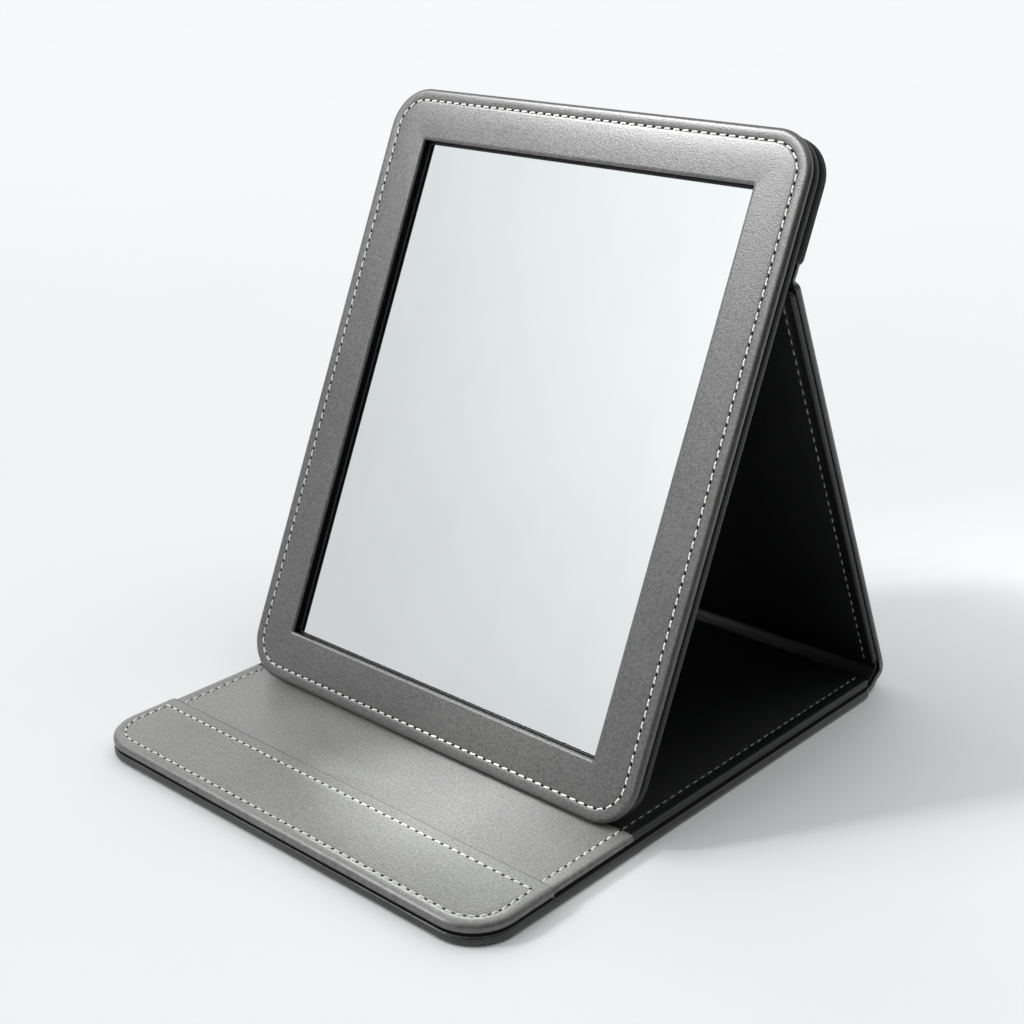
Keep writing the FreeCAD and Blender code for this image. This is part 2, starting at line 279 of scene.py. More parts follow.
@dataclass(frozen=True)
class Leather(Finish):
    """Leather cloth with brushed nap, cloudy tone, pores, painted light down the sides of its rolls and, on
    cut layers, fine lines.
    """

    deep: Colour
    pale: Colour
    # The colour painted down the sides of rolls in place of light: painted shade where it is darker than the
    # face, painted highlight where it is lighter.
    painted_roll_light: Colour
    roughness: float
    relief: float
    roll_light_share: float
    specular: float
    coat: float = 0.0
    pores: float = 1500.0
    lines: float = 0.0
    line_scale: float = 1500.0
    line_stretch: Triple = (0.02, 0.02, 1.0)
    cloud_scale: float = 30.0
    nap_scale: float = 420.0
    streak_scale: float = 600.0
    streak_stretch: Triple = (1.0, 0.2, 0.2)
    grain_scale: float = 1300.0
    speck_finer: float = 1.7
    tone_shares: tuple[float, ...] = (0.24, 0.12, 0.08, 0.56)
    tone_range: Pair = (0.38, 0.62)
    roll_light_least: float = 0.35
    roll_light_by_nap: float = 0.9
    gloss_by_grain: float = 0.3
    gloss_by_cloud: float = 0.1
    relief_shares: Pair = (0.8, 0.25)
    relief_depth: float = 0.00015
    coat_by_grain: float = 3.2
    coat_cut: float = 0.7
    coat_smoother: float = 0.05

    def paint(self, graph: Graph) -> dict[str, object]:
        """Tone from clouds, nap, brushed streaks and grain; relief from specks, pores and lines.

        Args:
            graph: the material's node graph.

        Returns:
            Values and links of the surface shader's sockets.
        """
        even = graph.place()
        cloud = graph.noise(even, self.cloud_scale, 3.0, 0.5)
        nap = graph.noise(even, self.nap_scale, 3.0, 0.6)
        streak = graph.noise(graph.place(self.streak_stretch), self.streak_scale, 3.0, 0.6)
        grain = graph.noise(even, self.grain_scale, 2.0, 0.6)
        speck = graph.noise(even, self.grain_scale * self.speck_finer, 1.0, 0.5)
        tone = graph.tone((cloud, nap, streak, grain), self.tone_shares, self.tone_range)
        # Painted light on the rolls: their sides turn towards the roll colour, as painted shade or painted
        # highlight depending on the finish, and lose their coat.
        roll_light_mask = graph.attribute("rolled") * (self.roll_light_least + nap * self.roll_light_by_nap) * self.roll_light_share
        height = speck * self.relief_shares[0] + graph.cells(even, self.pores) * self.relief_shares[1]
        if self.lines > 0.0:
            line = graph.noise(graph.place(self.line_stretch), self.line_scale, 1.0, 0.5)
            height = height + line * self.lines
        return {
            "Base Color": graph.tint(roll_light_mask, graph.tint(tone, self.deep, self.pale), self.painted_roll_light),
            "Roughness": (self.roughness + (grain - HALF) * self.gloss_by_grain
                          + (cloud - HALF) * self.gloss_by_cloud),
            "Specular IOR Level": self.specular,
            "Coat Weight": (grain * self.coat_by_grain - self.coat_cut) * (1.0 - roll_light_mask) * self.coat,
            "Coat Roughness": self.roughness - self.coat_smoother,
            "Normal": graph.bump(height, self.relief, self.relief_depth),
        }


@dataclass(frozen=True)
class Yarn(Finish):
    """Twisted sewing thread."""

    shade: Colour = (0.66, 0.65, 0.625)
    light: Colour = (0.93, 0.92, 0.9)
    fibre_scale: float = 2600.0
    drift_scale: float = 90.0
    tone_shares: Pair = (0.6, 0.4)
    tone_range: Pair = (0.25, 0.55)
    roughness: float = 0.55
    roughness_by_fibre: float = 0.2
    specular: float = 0.35
    relief: float = 0.4
    relief_depth: float = 0.00008

    def paint(self, graph: Graph) -> dict[str, object]:
        """Fibres that catch the light along each strand.

        Args:
            graph: the material's node graph.

        Returns:
            Values and links of the surface shader's sockets.
        """
        even = graph.place()
        fibre = graph.noise(even, self.fibre_scale, 3.0, 0.6)
        drift = graph.noise(even, self.drift_scale, 2.0, 0.5)
        tone = graph.tone((fibre, drift), self.tone_shares, self.tone_range)
        return {
            "Base Color": graph.tint(tone, self.shade, self.light),
            "Roughness": self.roughness + fibre * self.roughness_by_fibre,
            "Specular IOR Level": self.specular,
            "Normal": graph.bump(fibre, self.relief, self.relief_depth),
        }


@dataclass(frozen=True)
class Silvering(Finish):
    """Silvered mirror sheet with a faint film of dust."""

    clear: Colour = (0.86, 0.89, 0.885)
    dusty: Colour = (0.82, 0.85, 0.845)
    film_scale: float = 14.0
    wipe_scale: float = 60.0
    wipe_stretch: Triple = (1.0, 0.25, 0.25)
    tone_shares: Pair = (0.6, 0.4)
    tone_range: Pair = (0.4, 0.75)

    def paint(self, graph: Graph) -> dict[str, object]:
        """Sharp, nearly even reflection with faint wiping marks in its tone.

        Args:
            graph: the material's node graph.

        Returns:
            Values and links of the surface shader's sockets.
        """
        film = graph.noise(graph.place(), self.film_scale, 3.0, 0.5)
        wipe = graph.noise(graph.place(self.wipe_stretch), self.wipe_scale, 3.0, 0.55)
        mark = graph.tone((film, wipe), self.tone_shares, self.tone_range)
        return {"Base Color": graph.tint(mark, self.clear, self.dusty), "Metallic": 1.0, "Roughness": 0.0}


@dataclass(frozen=True)
class Stock(Finish):
    """Plain stock such as board, plate, foam or paint, told apart by tone, grain and gloss."""

    deep: Colour
    pale: Colour
    roughness: float
    grain: float
    metallic: float = 0.0
    stretch: Triple = (1.0, 1.0, 1.0)
    specular: float = 0.4
    cloud_scale: float = 30.0
    tone_shares: Pair = (0.65, 0.35)
    tone_range: Pair = (0.3, 0.7)
    roughness_by_grain: float = 0.15
    relief: float = 0.25
    relief_depth: float = 0.00006

    def paint(self, graph: Graph) -> dict[str, object]:
        """Fibrous or brushed grain over a cloudy tone.

        Args:
            graph: the material's node graph.

        Returns:
            Values and links of the surface shader's sockets.
        """
        fine = graph.noise(graph.place(self.stretch), self.grain, 4.0, 0.6)
        cloud = graph.noise(graph.place(), self.cloud_scale, 2.0, 0.5)
        tone = graph.tone((fine, cloud), self.tone_shares, self.tone_range)
        return {
            "Base Color": graph.tint(tone, self.deep, self.pale),
            "Metallic": self.metallic,
            "Roughness": self.roughness + (fine - HALF) * self.roughness_by_grain,
            "Specular IOR Level": self.specular,
            "Normal": graph.bump(fine, self.relief, self.relief_depth),
        }


@dataclass(frozen=True)
class Sweep(Finish):
    """White studio floor that runs on into a lit backdrop."""

    deep: Colour = (0.84, 0.84, 0.845)
    pale: Colour = (0.86, 0.86, 0.865)
    far_glow: Colour = (0.05, 0.05, 0.05)
    towards: Triple = (-0.48, 0.88, 0.0)
    near: float = 0.15
    far: float = 1.2
    cloud_scale: float = 9.0
    roughness: float = 0.7
    roughness_by_cloud: float = 0.1
    specular: float = 0.15

    def paint(self, graph: Graph) -> dict[str, object]:
        """Faintly clouded white with a glow that grows towards the backdrop.

        Args:
            graph: the material's node graph.

        Returns:
            Values and links of the surface shader's sockets.
        """
        even = graph.place()
        cloud = graph.noise(even, self.cloud_scale, 3.0, 0.5)
        away = graph.along(even, self.towards).ramp(self.near, self.far)
        return {
            "Base Color": graph.tint(cloud, self.deep, self.pale),
            "Roughness": self.roughness + cloud * self.roughness_by_cloud,
            "Specular IOR Level": self.specular,
            "Emission Color": graph.tint(away, ZERO, self.far_glow),
            "Emission Strength": 1.0,
        }


class Finishes(Enum):
    """Every finish on the mirror and its floor."""

    GREY = Leather("grey_brushed_leather", "grey_leather", (0.034, 0.0337, 0.0323), (0.074, 0.0733, 0.0705),
                   (0.016, 0.0158, 0.0152), roughness=0.38, relief=0.45, roll_light_share=0.85, specular=1.0,
                   coat=0.6)
    # The same grey leather as GREY, painted several times lighter: painted light and sheen on the base's
    # lining and strip.
    GREY_LIT = Leather("grey_leather_lit_copy", "grey_leather", (0.165, 0.165, 0.158), (0.26, 0.26, 0.249),
                   (0.045, 0.045, 0.043), roughness=0.36, relief=0.6, roll_light_share=1.0, specular=1.0,
                   coat=0.8)
    BLACK = Leather("black_lining_cloth", "black_lining", (0.0018, 0.0022, 0.0025), (0.0042, 0.005, 0.0055),
                    (0.022, 0.023, 0.024), roughness=0.46, relief=0.5, roll_light_share=0.3, specular=0.5,
                    pores=1700.0)
    SLATE = Leather("slate_back_leather", "slate_leather", (0.024, 0.0255, 0.0275), (0.042, 0.0445, 0.048),
                    (0.011, 0.0117, 0.0125), roughness=0.46, relief=0.4, roll_light_share=0.85, specular=0.3)
    COVER = Leather("charcoal_cover_leather", "cover_leather", (0.01, 0.0103, 0.0107), (0.019, 0.0194, 0.02),
                    (0.03, 0.0306, 0.0315), roughness=0.36, relief=0.4, roll_light_share=0.2, specular=0.6, coat=0.5,
                    pores=1300.0)
    LAYERED = Leather("charcoal_layered_edge", "cover_leather", (0.012, 0.0124, 0.0128),
                      (0.034, 0.0347, 0.0357), (0.02, 0.0204, 0.021), roughness=0.34, relief=0.6,
                      roll_light_share=0.2, specular=0.5, coat=0.2, pores=1300.0, lines=3.0)
    # The cover leather again, darker and less glossy: painted shade for the cover panel's sides.
    COVER_SHADED = Leather("cover_leather_matt_shaded", "cover_leather", (0.006, 0.0061, 0.0063),
                       (0.013, 0.0132, 0.0136), (0.03, 0.0305, 0.031), roughness=0.55, relief=0.4,
                       roll_light_share=0.3, specular=0.2, pores=1300.0)
    THREAD = Yarn("white_twisted_thread", "thread")
    # The same white thread, painted grey: painted shade for the stitches on the black lining.
    SHADED_THREAD = Yarn("thread_shaded_copy", "thread", (0.2, 0.2, 0.195), (0.42, 0.42, 0.41))
    PIT = Stock("needle_hole_shade", "black_lining", (0.002, 0.002, 0.002), (0.008, 0.008, 0.008),
                roughness=0.9, grain=1500.0, specular=0.1)
    MIRROR = Silvering("silvered_sheet", "mirror")
    LINER = Stock("matt_black_liner", "liner", (0.0018, 0.0018, 0.002), (0.005, 0.005, 0.0055),
                  roughness=0.7, grain=1400.0, specular=0.06)
    BOARD = Stock("pressed_grey_board", "greyboard", (0.22, 0.205, 0.18), (0.38, 0.36, 0.33),
                  roughness=0.9, grain=800.0, stretch=(1.0, 0.3, 0.3))
    STEEL = Stock("brushed_steel_plate", "steel", (0.42, 0.42, 0.42), (0.6, 0.6, 0.6),
                  roughness=0.35, grain=1800.0, metallic=1.0, stretch=(0.05, 1.0, 1.0))
    MAGNET = Stock("plated_magnet", "magnet", (0.5, 0.5, 0.52), (0.68, 0.68, 0.7),
                   roughness=0.25, grain=500.0, metallic=1.0)
    TAPE = Stock("foam_bonding_tape", "tape", (0.66, 0.65, 0.62), (0.8, 0.8, 0.77),
                 roughness=0.85, grain=1600.0)
    FLOOR = Sweep("white_studio_floor", "")


class Carrier(Enum):
    """Bodies of the folding case."""

    BASE = "base"
    SPINE = "spine"
    LEG = "leg"
    UPPER = "upper_hinge"
    PANEL = "mirror"


def carry(piece: bpy.types.Object, body: Carrier, finish: Finishes, *nodes: str) -> None:
    """Let a piece ride on a body and stand for CAD nodes.

    Args:
        piece: the piece.
        body: the body that carries it.
        finish: not used.
        nodes: CAD nodes that it stands for.
    """
    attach(piece, body.value)
    if nodes:
        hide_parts(*nodes)
    log.info("piece %s on %s, %d faces", piece.name, body.value, len(piece.data.polygons))


@dataclass(frozen=True)
class Place:
    """Where a layer's flat frame stands in the side view, in millimetres and degrees."""

    angle_deg: float = 0.0
    y: float = 0.0
    z: float = 0.0

    def matrix(self) -> Matrix:
        """Take millimetres in the flat frame to metres in the row frame."""
        turn = Matrix.Rotation(math.radians(self.angle_deg), 4, "X")
        return Matrix.Scale(MM, 4) @ Matrix.Translation((0.0, self.y, self.z)) @ turn

    def side(self, *points: Pair) -> tuple[Pair, ...]:
        """Points of the flat frame in the row frame's side view, still in millimetres."""
        return tuple(tuple((self.matrix() @ Vector((0.0, y, z)) / MM).yz) for y, z in points)


@dataclass(frozen=True)
class Outline:
    """Rectangle about X = 0 with one radius for its low corners and one for its high ones."""

    half: float
    low: float
    high: float
    round_low: float = 0.0
    round_high: float = 0.0

    def inset(self, gap: float) -> "Outline":
        """The outline that lies a gap inside this one, or outside it, with its square corners kept square."""
        rounds = [max(r - gap, 0.0) if r > 0.0 else 0.0 for r in (self.round_low, self.round_high)]
        return Outline(self.half - gap, self.low + gap, self.high - gap, *rounds)

    def rounded(self, radius: float) -> "Outline":
        """The outline with one radius for all its corners."""
        return replace(self, round_low=radius, round_high=radius)


class Shaper:
    """A mesh under way, in millimetres, in the flat frame of one layer."""

    corner_steps: int = 12
    roll_steps: int = 7
    round_profile: float = 0.5
    sharp_turn: float = 0.7
    roll_light_rise: float = 4.0
    face_ring: float = 0.5
    level_share: float = 0.99
    near_by: float = 1e-3
    weld_reach: float = 1e-4
    cut_reach: float = 1e-5
    waves: tuple[Triple, ...] = ((1.0, 0.071, 5.0), (0.6, 0.19, -9.0))
    wave_arch: float = 4.0

    def __init__(self) -> None:
        """Start empty, with room for how far each point lies down a roll."""
        self.mesh = bmesh.new()
        self.rolled = self.mesh.verts.layers.float.new("rolled")

    def plate(self, outline: Outline, level: float) -> bmesh.types.BMFace:
        """Lay one flat face on an outline.

        Args:
            outline: the face's edge.
            level: height of the face.

        Returns:
            The face, with its front up.
        """
        before = set(self.mesh.faces)
        verts = bmesh.ops.create_grid(self.mesh, x_segments=1, y_segments=1, size=0.5)["verts"]
        middle = (outline.low + outline.high) / 2
        bmesh.ops.scale(self.mesh, vec=(2 * outline.half, outline.high - outline.low, 1.0), verts=verts)
        bmesh.ops.translate(self.mesh, vec=(0.0, middle, level), verts=verts)
        for radius, corners in ((outline.round_low, [v for v in verts if v.co.y < middle]),
                                (outline.round_high, [v for v in verts if v.co.y > middle])):
            if radius > 0.0:
                bmesh.ops.bevel(self.mesh, geom=corners, offset=radius, offset_type="OFFSET",
                                segments=self.corner_steps, profile=self.round_profile,
                                affect="VERTICES", material=-1)
        return next(f for f in self.mesh.faces if f not in before)

    def raise_face(self, face: bmesh.types.BMFace, rise: float) -> bmesh.types.BMFace:
        """Extrude a face straight up or down.

        Args:
            face: the face to extrude.
            rise: how far the new face goes up.

        Returns:
            The new face.
        """
        made = bmesh.ops.extrude_face_region(self.mesh, geom=[face])["geom"]
        verts = [g for g in made if isinstance(g, bmesh.types.BMVert)]
        bmesh.ops.translate(self.mesh, vec=(0.0, 0.0, rise), verts=verts)
        return next(g for g in made if isinstance(g, bmesh.types.BMFace))

    def roll(self, edges: list[bmesh.types.BMEdge], radius: float) -> None:
        """Round edges into a roll and mark how far down its side each point lies, for the painted light on
        rolls.

        Args:
            edges: edges in one level.
            radius: the roll's radius.
        """
        level = edges[0].verts[0].co.z
        made = bmesh.ops.bevel(self.mesh, geom=edges, offset=radius, offset_type="OFFSET",
                               segments=self.roll_steps, profile=self.round_profile, affect="EDGES",
                               material=-1)
        for vert in made["verts"]:
            share = min(abs(vert.co.z - level) / radius, 1.0)
            # The mark, eased, sets how much painted shade or highlight the leather puts on this point.
            vert[self.rolled] = min(self.roll_light_rise * share, 1.0)

    def facing(self, up: bool) -> bmesh.types.BMFace:
        """Find the largest face that looks straight up or straight down.

        Args:
            up: whether it looks up.

        Returns:
            The face.
        """
        bmesh.ops.recalc_face_normals(self.mesh, faces=self.mesh.faces[:])
        sign = 1.0 if up else -1.0
        level = [f for f in self.mesh.faces if f.normal.z * sign > self.level_share]
        return max(level, key=lambda f: f.calc_area())

    def step_in(self, face: bmesh.types.BMFace, *steps: Pair) -> None:
        """Step a face inwards ring by ring, each with its own rise.

        Args:
            face: the face, which stays the innermost one.
            steps: breadth and rise of each ring.
        """
        for breadth, rise in steps:
            bmesh.ops.inset_region(self.mesh, faces=[face], thickness=breadth, depth=rise,
                                   use_even_offset=True, use_boundary=True)

    def slab(self, outline: Outline, low: float, high: float, low_roll: float, high_roll: float,
             square_low: bool = False, square_high: bool = False) -> None:
        """Board wrapped in leather cloth, with rolled edges.

        Args:
            outline: the slab's widest outline.
            low: level of its lower face.
            high: level of its upper face.
            low_roll: radius round the lower face.
            high_roll: radius round the upper face.
            square_low: leave the low end square, where it meets another piece.
            square_high: leave the high end square.
        """
        self.raise_face(self.plate(outline, low), high - low)
        for up, radius in ((False, low_roll), (True, high_roll)):
            rim = []
            for edge in self.facing(up).edges:
                ends = [v.co.y for v in edge.verts]
                at_low = square_low and max(ends) < outline.low + MM
                at_high = square_high and min(ends) > outline.high - MM
                if not (at_low or at_high):
                    rim.append(edge)
            self.roll(rim, radius)
        for up in (False, True):
            self.step_in(self.facing(up), (self.face_ring, 0.0))

    def band(self, outline: Outline, low: float, high: float, breadth: float) -> None:
        """Closed band of even breadth inside an outline.

        Args:
            outline: the band's outer edge.
            low: level of its lower face.
            high: level of its upper face.
            breadth: how far it reaches inwards.
        """
        self.raise_face(self.plate(outline, low), high - low)
        for up in (False, True):
            self.step_in(self.facing(up), (breadth, 0.0))
        self.join([self.facing(False), self.facing(True)])

    def furrow(self, x: float, level: float, half_breadth: float, depth: float) -> None:
        """Press a straight sewing furrow along Y into the upper face.

        Args:
            x: middle of the furrow.
            level: height of the upper face.
            half_breadth: half of its breadth.
            depth: how deep it is pressed.
        """
        for shift in (-half_breadth, 0.0, half_breadth):
            every = self.mesh.verts[:] + self.mesh.edges[:] + self.mesh.faces[:]
            bmesh.ops.bisect_plane(self.mesh, geom=every, dist=self.cut_reach, plane_co=(x + shift, 0.0, 0.0),
                                   plane_no=(1.0, 0.0, 0.0))
        pressed = [v for v in self.mesh.verts
                   if abs(v.co.x - x) < self.near_by and abs(v.co.z - level) < self.near_by]
        bmesh.ops.translate(self.mesh, vec=(0.0, 0.0, -depth), verts=pressed)

    def join(self, taken: list[bmesh.types.BMFace], kept: tuple[bmesh.types.BMFace, ...] = (),
             flat: bool = False) -> None:
        """Take faces out and close the ring between the edges that they leave.

        Args:
            taken: faces that are taken out.
            kept: a face inside the ring that stays.
            flat: fill a ring in one level, instead of bridging two levels.
        """
        edges = [edge for face in (*taken, *kept) for edge in face.edges]
        bmesh.ops.delete(self.mesh, geom=taken, context="FACES_ONLY")
        if flat:
            bmesh.ops.triangle_fill(self.mesh, edges=edges, use_beauty=True, normal=(0.0, 0.0, -1.0))
        else:
            bmesh.ops.bridge_loops(self.mesh, edges=edges)

    def cloth(self, path: list[Vector], half: float, thickness: float, ripple: float,
              cuts: int = 44) -> None:
        """Leather cloth that follows a path in the side view, from side to side of the case.

        Args:
            path: points along the cloth's middle in the side view, in the row frame's millimetres.
            half: half of the cloth's width.
            thickness: thickness of the cloth.
            ripple: height of its soft creases.
            cuts: how often it is divided across its width.
        """
        verts = [self.mesh.verts.new((-half, p.y, p.z)) for p in path]
        edges = [self.mesh.edges.new(pair) for pair in zip(verts, verts[1:])]
        made = bmesh.ops.extrude_edge_only(self.mesh, edges=edges)["geom"]
        far = [g for g in made if isinstance(g, bmesh.types.BMVert)]
        bmesh.ops.translate(self.mesh, vec=(2 * half, 0.0, 0.0), verts=far)
        across = [e for e in self.mesh.edges if abs(e.verts[0].co.x - e.verts[1].co.x) > half]
        bmesh.ops.subdivide_edges(self.mesh, edges=across, cuts=cuts, use_grid_fill=True)
        bmesh.ops.recalc_face_normals(self.mesh, faces=self.mesh.faces[:])
        start, end = path[0], path[-1]
        for vert in self.mesh.verts:
            along = (vert.co - start).yz.length / max((end - start).yz.length, MM)
            wave = sum(size * math.sin(across * vert.co.x + down * along)
                       for size, across, down in self.waves)
            crease = ripple * wave * self.wave_arch * along * max(1.0 - along, 0.0)
            vert.co += vert.normal * (thickness / 2 + crease)
        bmesh.ops.solidify(self.mesh, geom=self.mesh.faces[:], thickness=thickness)
        bmesh.ops.recalc_face_normals(self.mesh, faces=self.mesh.faces[:])

    def settle(self, name: str, place: Place, finish: Finishes) -> bpy.types.Object:
        """Close the mesh and set it down as an object.

        Args:
            name: the piece's name.
            place: where its flat frame stands.
            finish: its material.

        Returns:
            The object, at the origin with its place in its mesh.
        """
        bmesh.ops.remove_doubles(self.mesh, verts=self.mesh.verts[:], dist=self.weld_reach)
        bmesh.ops.recalc_face_normals(self.mesh, faces=self.mesh.faces[:])
        for face in self.mesh.faces:
            face.smooth = True
        for edge in self.mesh.edges:
            if len(edge.link_faces) == 2 and edge.calc_face_angle() > self.sharp_turn:
                edge.smooth = False
        bmesh.ops.transform(self.mesh, matrix=place.matrix(), verts=self.mesh.verts[:])
        return self.hand_over(name, finish)

    def lay(self, name: str, place: Place, body: Carrier, finish: Finishes, *nodes: str) -> None:
        """Settle the mesh as a piece that rides on a body and stands for CAD nodes."""
        carry(self.settle(name, place, finish), body, finish, *nodes)

    def hand_over(self, name: str, *finishes: Finishes) -> bpy.types.Object:
        """Turn the mesh into a shown object.

        Args:
            name: the piece's name.
            finishes: its materials, in the order of the faces' numbers.

        Returns:
            The object.
        """
        data = bpy.data.meshes.new(name)
        self.mesh.to_mesh(data)
        self.mesh.free()
        for finish in finishes:
            data.materials.append(finish.value.material())
        made = bpy.data.objects.new(name, data)
        bpy.context.scene.collection.objects.link(made)
        return made


def groove_shade(name: str, outline: Outline, level: float, place: Place, body: Carrier) -> None:
    """Black band at the bottom of the groove between two layers: painted shade that darkens the groove.

    Args:
        name: the piece's name.
        outline: the groove's floor.
        level: height of the joint between the layers.
        place: where the layers' flat frame stands.
        body: the body that carries them.
    """
    half_height, breadth = 0.5, 1.0
    shaper = Shaper()
    shaper.band(outline, level - half_height, level + half_height, breadth)
    shaper.lay(name, place, body, Finishes.PIT)


@dataclass(frozen=True)
class CaseSizes:
    """Sizes of the folding case in millimetres, as its solids have them."""

    panel_width: float = 180.0
    panel_height: float = 223.2
    base_side_overhang: float = 1.2
    base_end_overhang: float = 0.2
    base_outer_thickness: float = 3.8
    base_inner_thickness: float = 3.2
    strip_depth: float = 33.0
    strip_thickness: float = 0.8
    spine_radius: float = 1.1
    spine_run: float = 7.0
    spine_low_height: float = 3.2
    hinge_clearance: float = 0.3
    leg_angle_deg: float = 65.0
    hinge_radius: float = 0.8
    hinge_depth: float = 9.6
    hinge_rise: float = 3.3
    frame_thickness: float = 3.4
    back_thickness: float = 3.8
    back_foot_inset: float = 1.4
    foot_edge_radius: float = 1.6
    foot_clearance: float = 0.14
    cover_panel_height: float = 39.7
    cover_panel_thickness: float = 5.0
    cover_panel_inset: float = 0.2
    # The black lining starts this far in front of the foot. Its edge is the real change from grey to black
    # and also stands in for the contact shadow under the frame: partly painted shade.
    lining_split_lead: float = 1.6

    @property
    def panel_half(self) -> float:
        """Half of the mirror panel's width."""
        return self.panel_width / 2

    @property
    def base_half(self) -> float:
        """Half of the base's width."""
        return self.panel_half + self.base_side_overhang

    @property
    def base_top(self) -> float:
        """Height of the base's lining."""
        return self.base_outer_thickness + self.base_inner_thickness

    @property
    def base_front(self) -> float:
        """Front edge of the base."""
        return -(self.panel_height + self.base_end_overhang) / 2

    @property
    def leg_axis(self) -> Pair:
        """Axis between the spine and the leg, in the side view."""
        height = self.base_top + self.foot_edge_radius + self.foot_clearance
        return -self.base_front - self.spine_radius, height

    @property
    def spine_axis(self) -> Pair:
        """Axis between the base and the spine, in the side view."""
        return self.leg_axis[0] - self.spine_run, self.spine_low_height

    @property
    def base_rear(self) -> float:
        """Rear edge of the base."""
        return self.spine_axis[0] - self.spine_radius - self.hinge_clearance

    @property
    def panel_lower_thickness(self) -> float:
        """Thickness of the frame and the back layer together."""
        return self.frame_thickness + self.back_thickness

    @property
    def cover_low(self) -> float:
        """Lower end of the cover panel, up the mirror panel."""
        return self.panel_height - self.cover_panel_inset - self.cover_panel_height

    @property
    def cover_axis(self) -> Pair:
        """Axis between the upper hinge and the panel: height up the panel and depth behind its face."""
        height = self.cover_low - self.hinge_radius - self.hinge_clearance
        return height, self.panel_lower_thickness + self.cover_panel_thickness / 2

    @property
    def foot_axis(self) -> Pair:
        """Middle of the foot's roll: height up the panel and depth behind its face."""
        height = self.back_foot_inset + self.foot_edge_radius
        return height, self.panel_lower_thickness - self.foot_edge_radius

    @property
    def pivot_length(self) -> float:
        """Length of the leg from its lower to its upper axis."""
        rise = self.cover_axis[0] - self.hinge_rise - self.foot_axis[0]
        return math.hypot(rise, self.hinge_depth - self.foot_axis[1])

    @property
    def foot_y(self) -> float:
        """Where the foot stands on the base."""
        return self.leg_axis[0] - 2 * self.pivot_length * math.cos(math.radians(self.leg_angle_deg))

    @property
    def lining_split(self) -> float:
        """Where the grey lining ends and the black one begins."""
        return self.foot_y - self.lining_split_lead

    def leg_place(self) -> Place:
        """The leg's flat frame, with its inner face up."""
        half_turn = 180.0
        return Place(half_turn - self.leg_angle_deg, *self.leg_axis)

    def panel_place(self) -> Place:
        """The mirror panel's flat frame, with its face up."""
        lean = math.asin((self.hinge_depth - self.foot_axis[1]) / self.pivot_length)
        tilt = math.radians(self.leg_angle_deg) + lean
        rise, depth = self.foot_axis
        y = self.foot_y - rise * math.cos(tilt) - depth * math.sin(tilt)
        z = self.leg_axis[1] - rise * math.sin(tilt) + depth * math.cos(tilt)
        return Place(math.degrees(tilt), y, z)


@dataclass(frozen=True)
class Seam:
    """A sewn line in a layer's flat frame: straight and evenly curved runs from a starting point."""

    x: float
    y: float
    heading: float
    runs: tuple[Pair, ...]
    closed: bool = False

    @classmethod
    def loop(cls, outline: Outline) -> "Seam":
        """Lay a closed seam on an outline, anticlockwise from its low side.

        Args:
            outline: the outline.

        Returns:
            The seam.
        """
        quarter = math.pi / 2
        low, high = outline.round_low, outline.round_high
        across, along = 2 * outline.half, outline.high - outline.low
        runs = ((across - 2 * low, 0.0), (low * quarter, quarter), (along - low - high, 0.0),
                (high * quarter, quarter), (across - 2 * high, 0.0), (high * quarter, quarter),
                (along - low - high, 0.0), (low * quarter, quarter))
        return cls(low - outline.half, outline.low, 0.0, runs, True)

    @classmethod
    def both_sides(cls, x: float, low: float, high: float) -> list["Seam"]:
        """Two open seams along Y, one on either side."""
        return [cls(side * x, low, math.pi / 2, ((high - low, 0.0),)) for side in SIDES]

    def length(self) -> float:
        """Whole length of the seam."""
        return sum(length for length, _ in self.runs)

    def at(self, distance: float) -> Triple:
        """Place and heading at a distance along the seam.

        Args:
            distance: millimetres from the start.

        Returns:
            X, Y and heading.
        """
        x, y, heading = self.x, self.y, self.heading
        for length, turn in self.runs:
            step = min(distance, length)
            if turn and length > 0.0:
                radius, end = length / turn, heading + turn * step / length
                x += radius * (math.sin(end) - math.sin(heading))
                y -= radius * (math.cos(end) - math.cos(heading))
                heading = end
            elif turn:
                heading += turn if distance > 0.0 else 0.0
            else:
                x += step * math.cos(heading)
                y += step * math.sin(heading)
            distance -= step
            if distance <= 0.0:
                break
        return x, y, heading


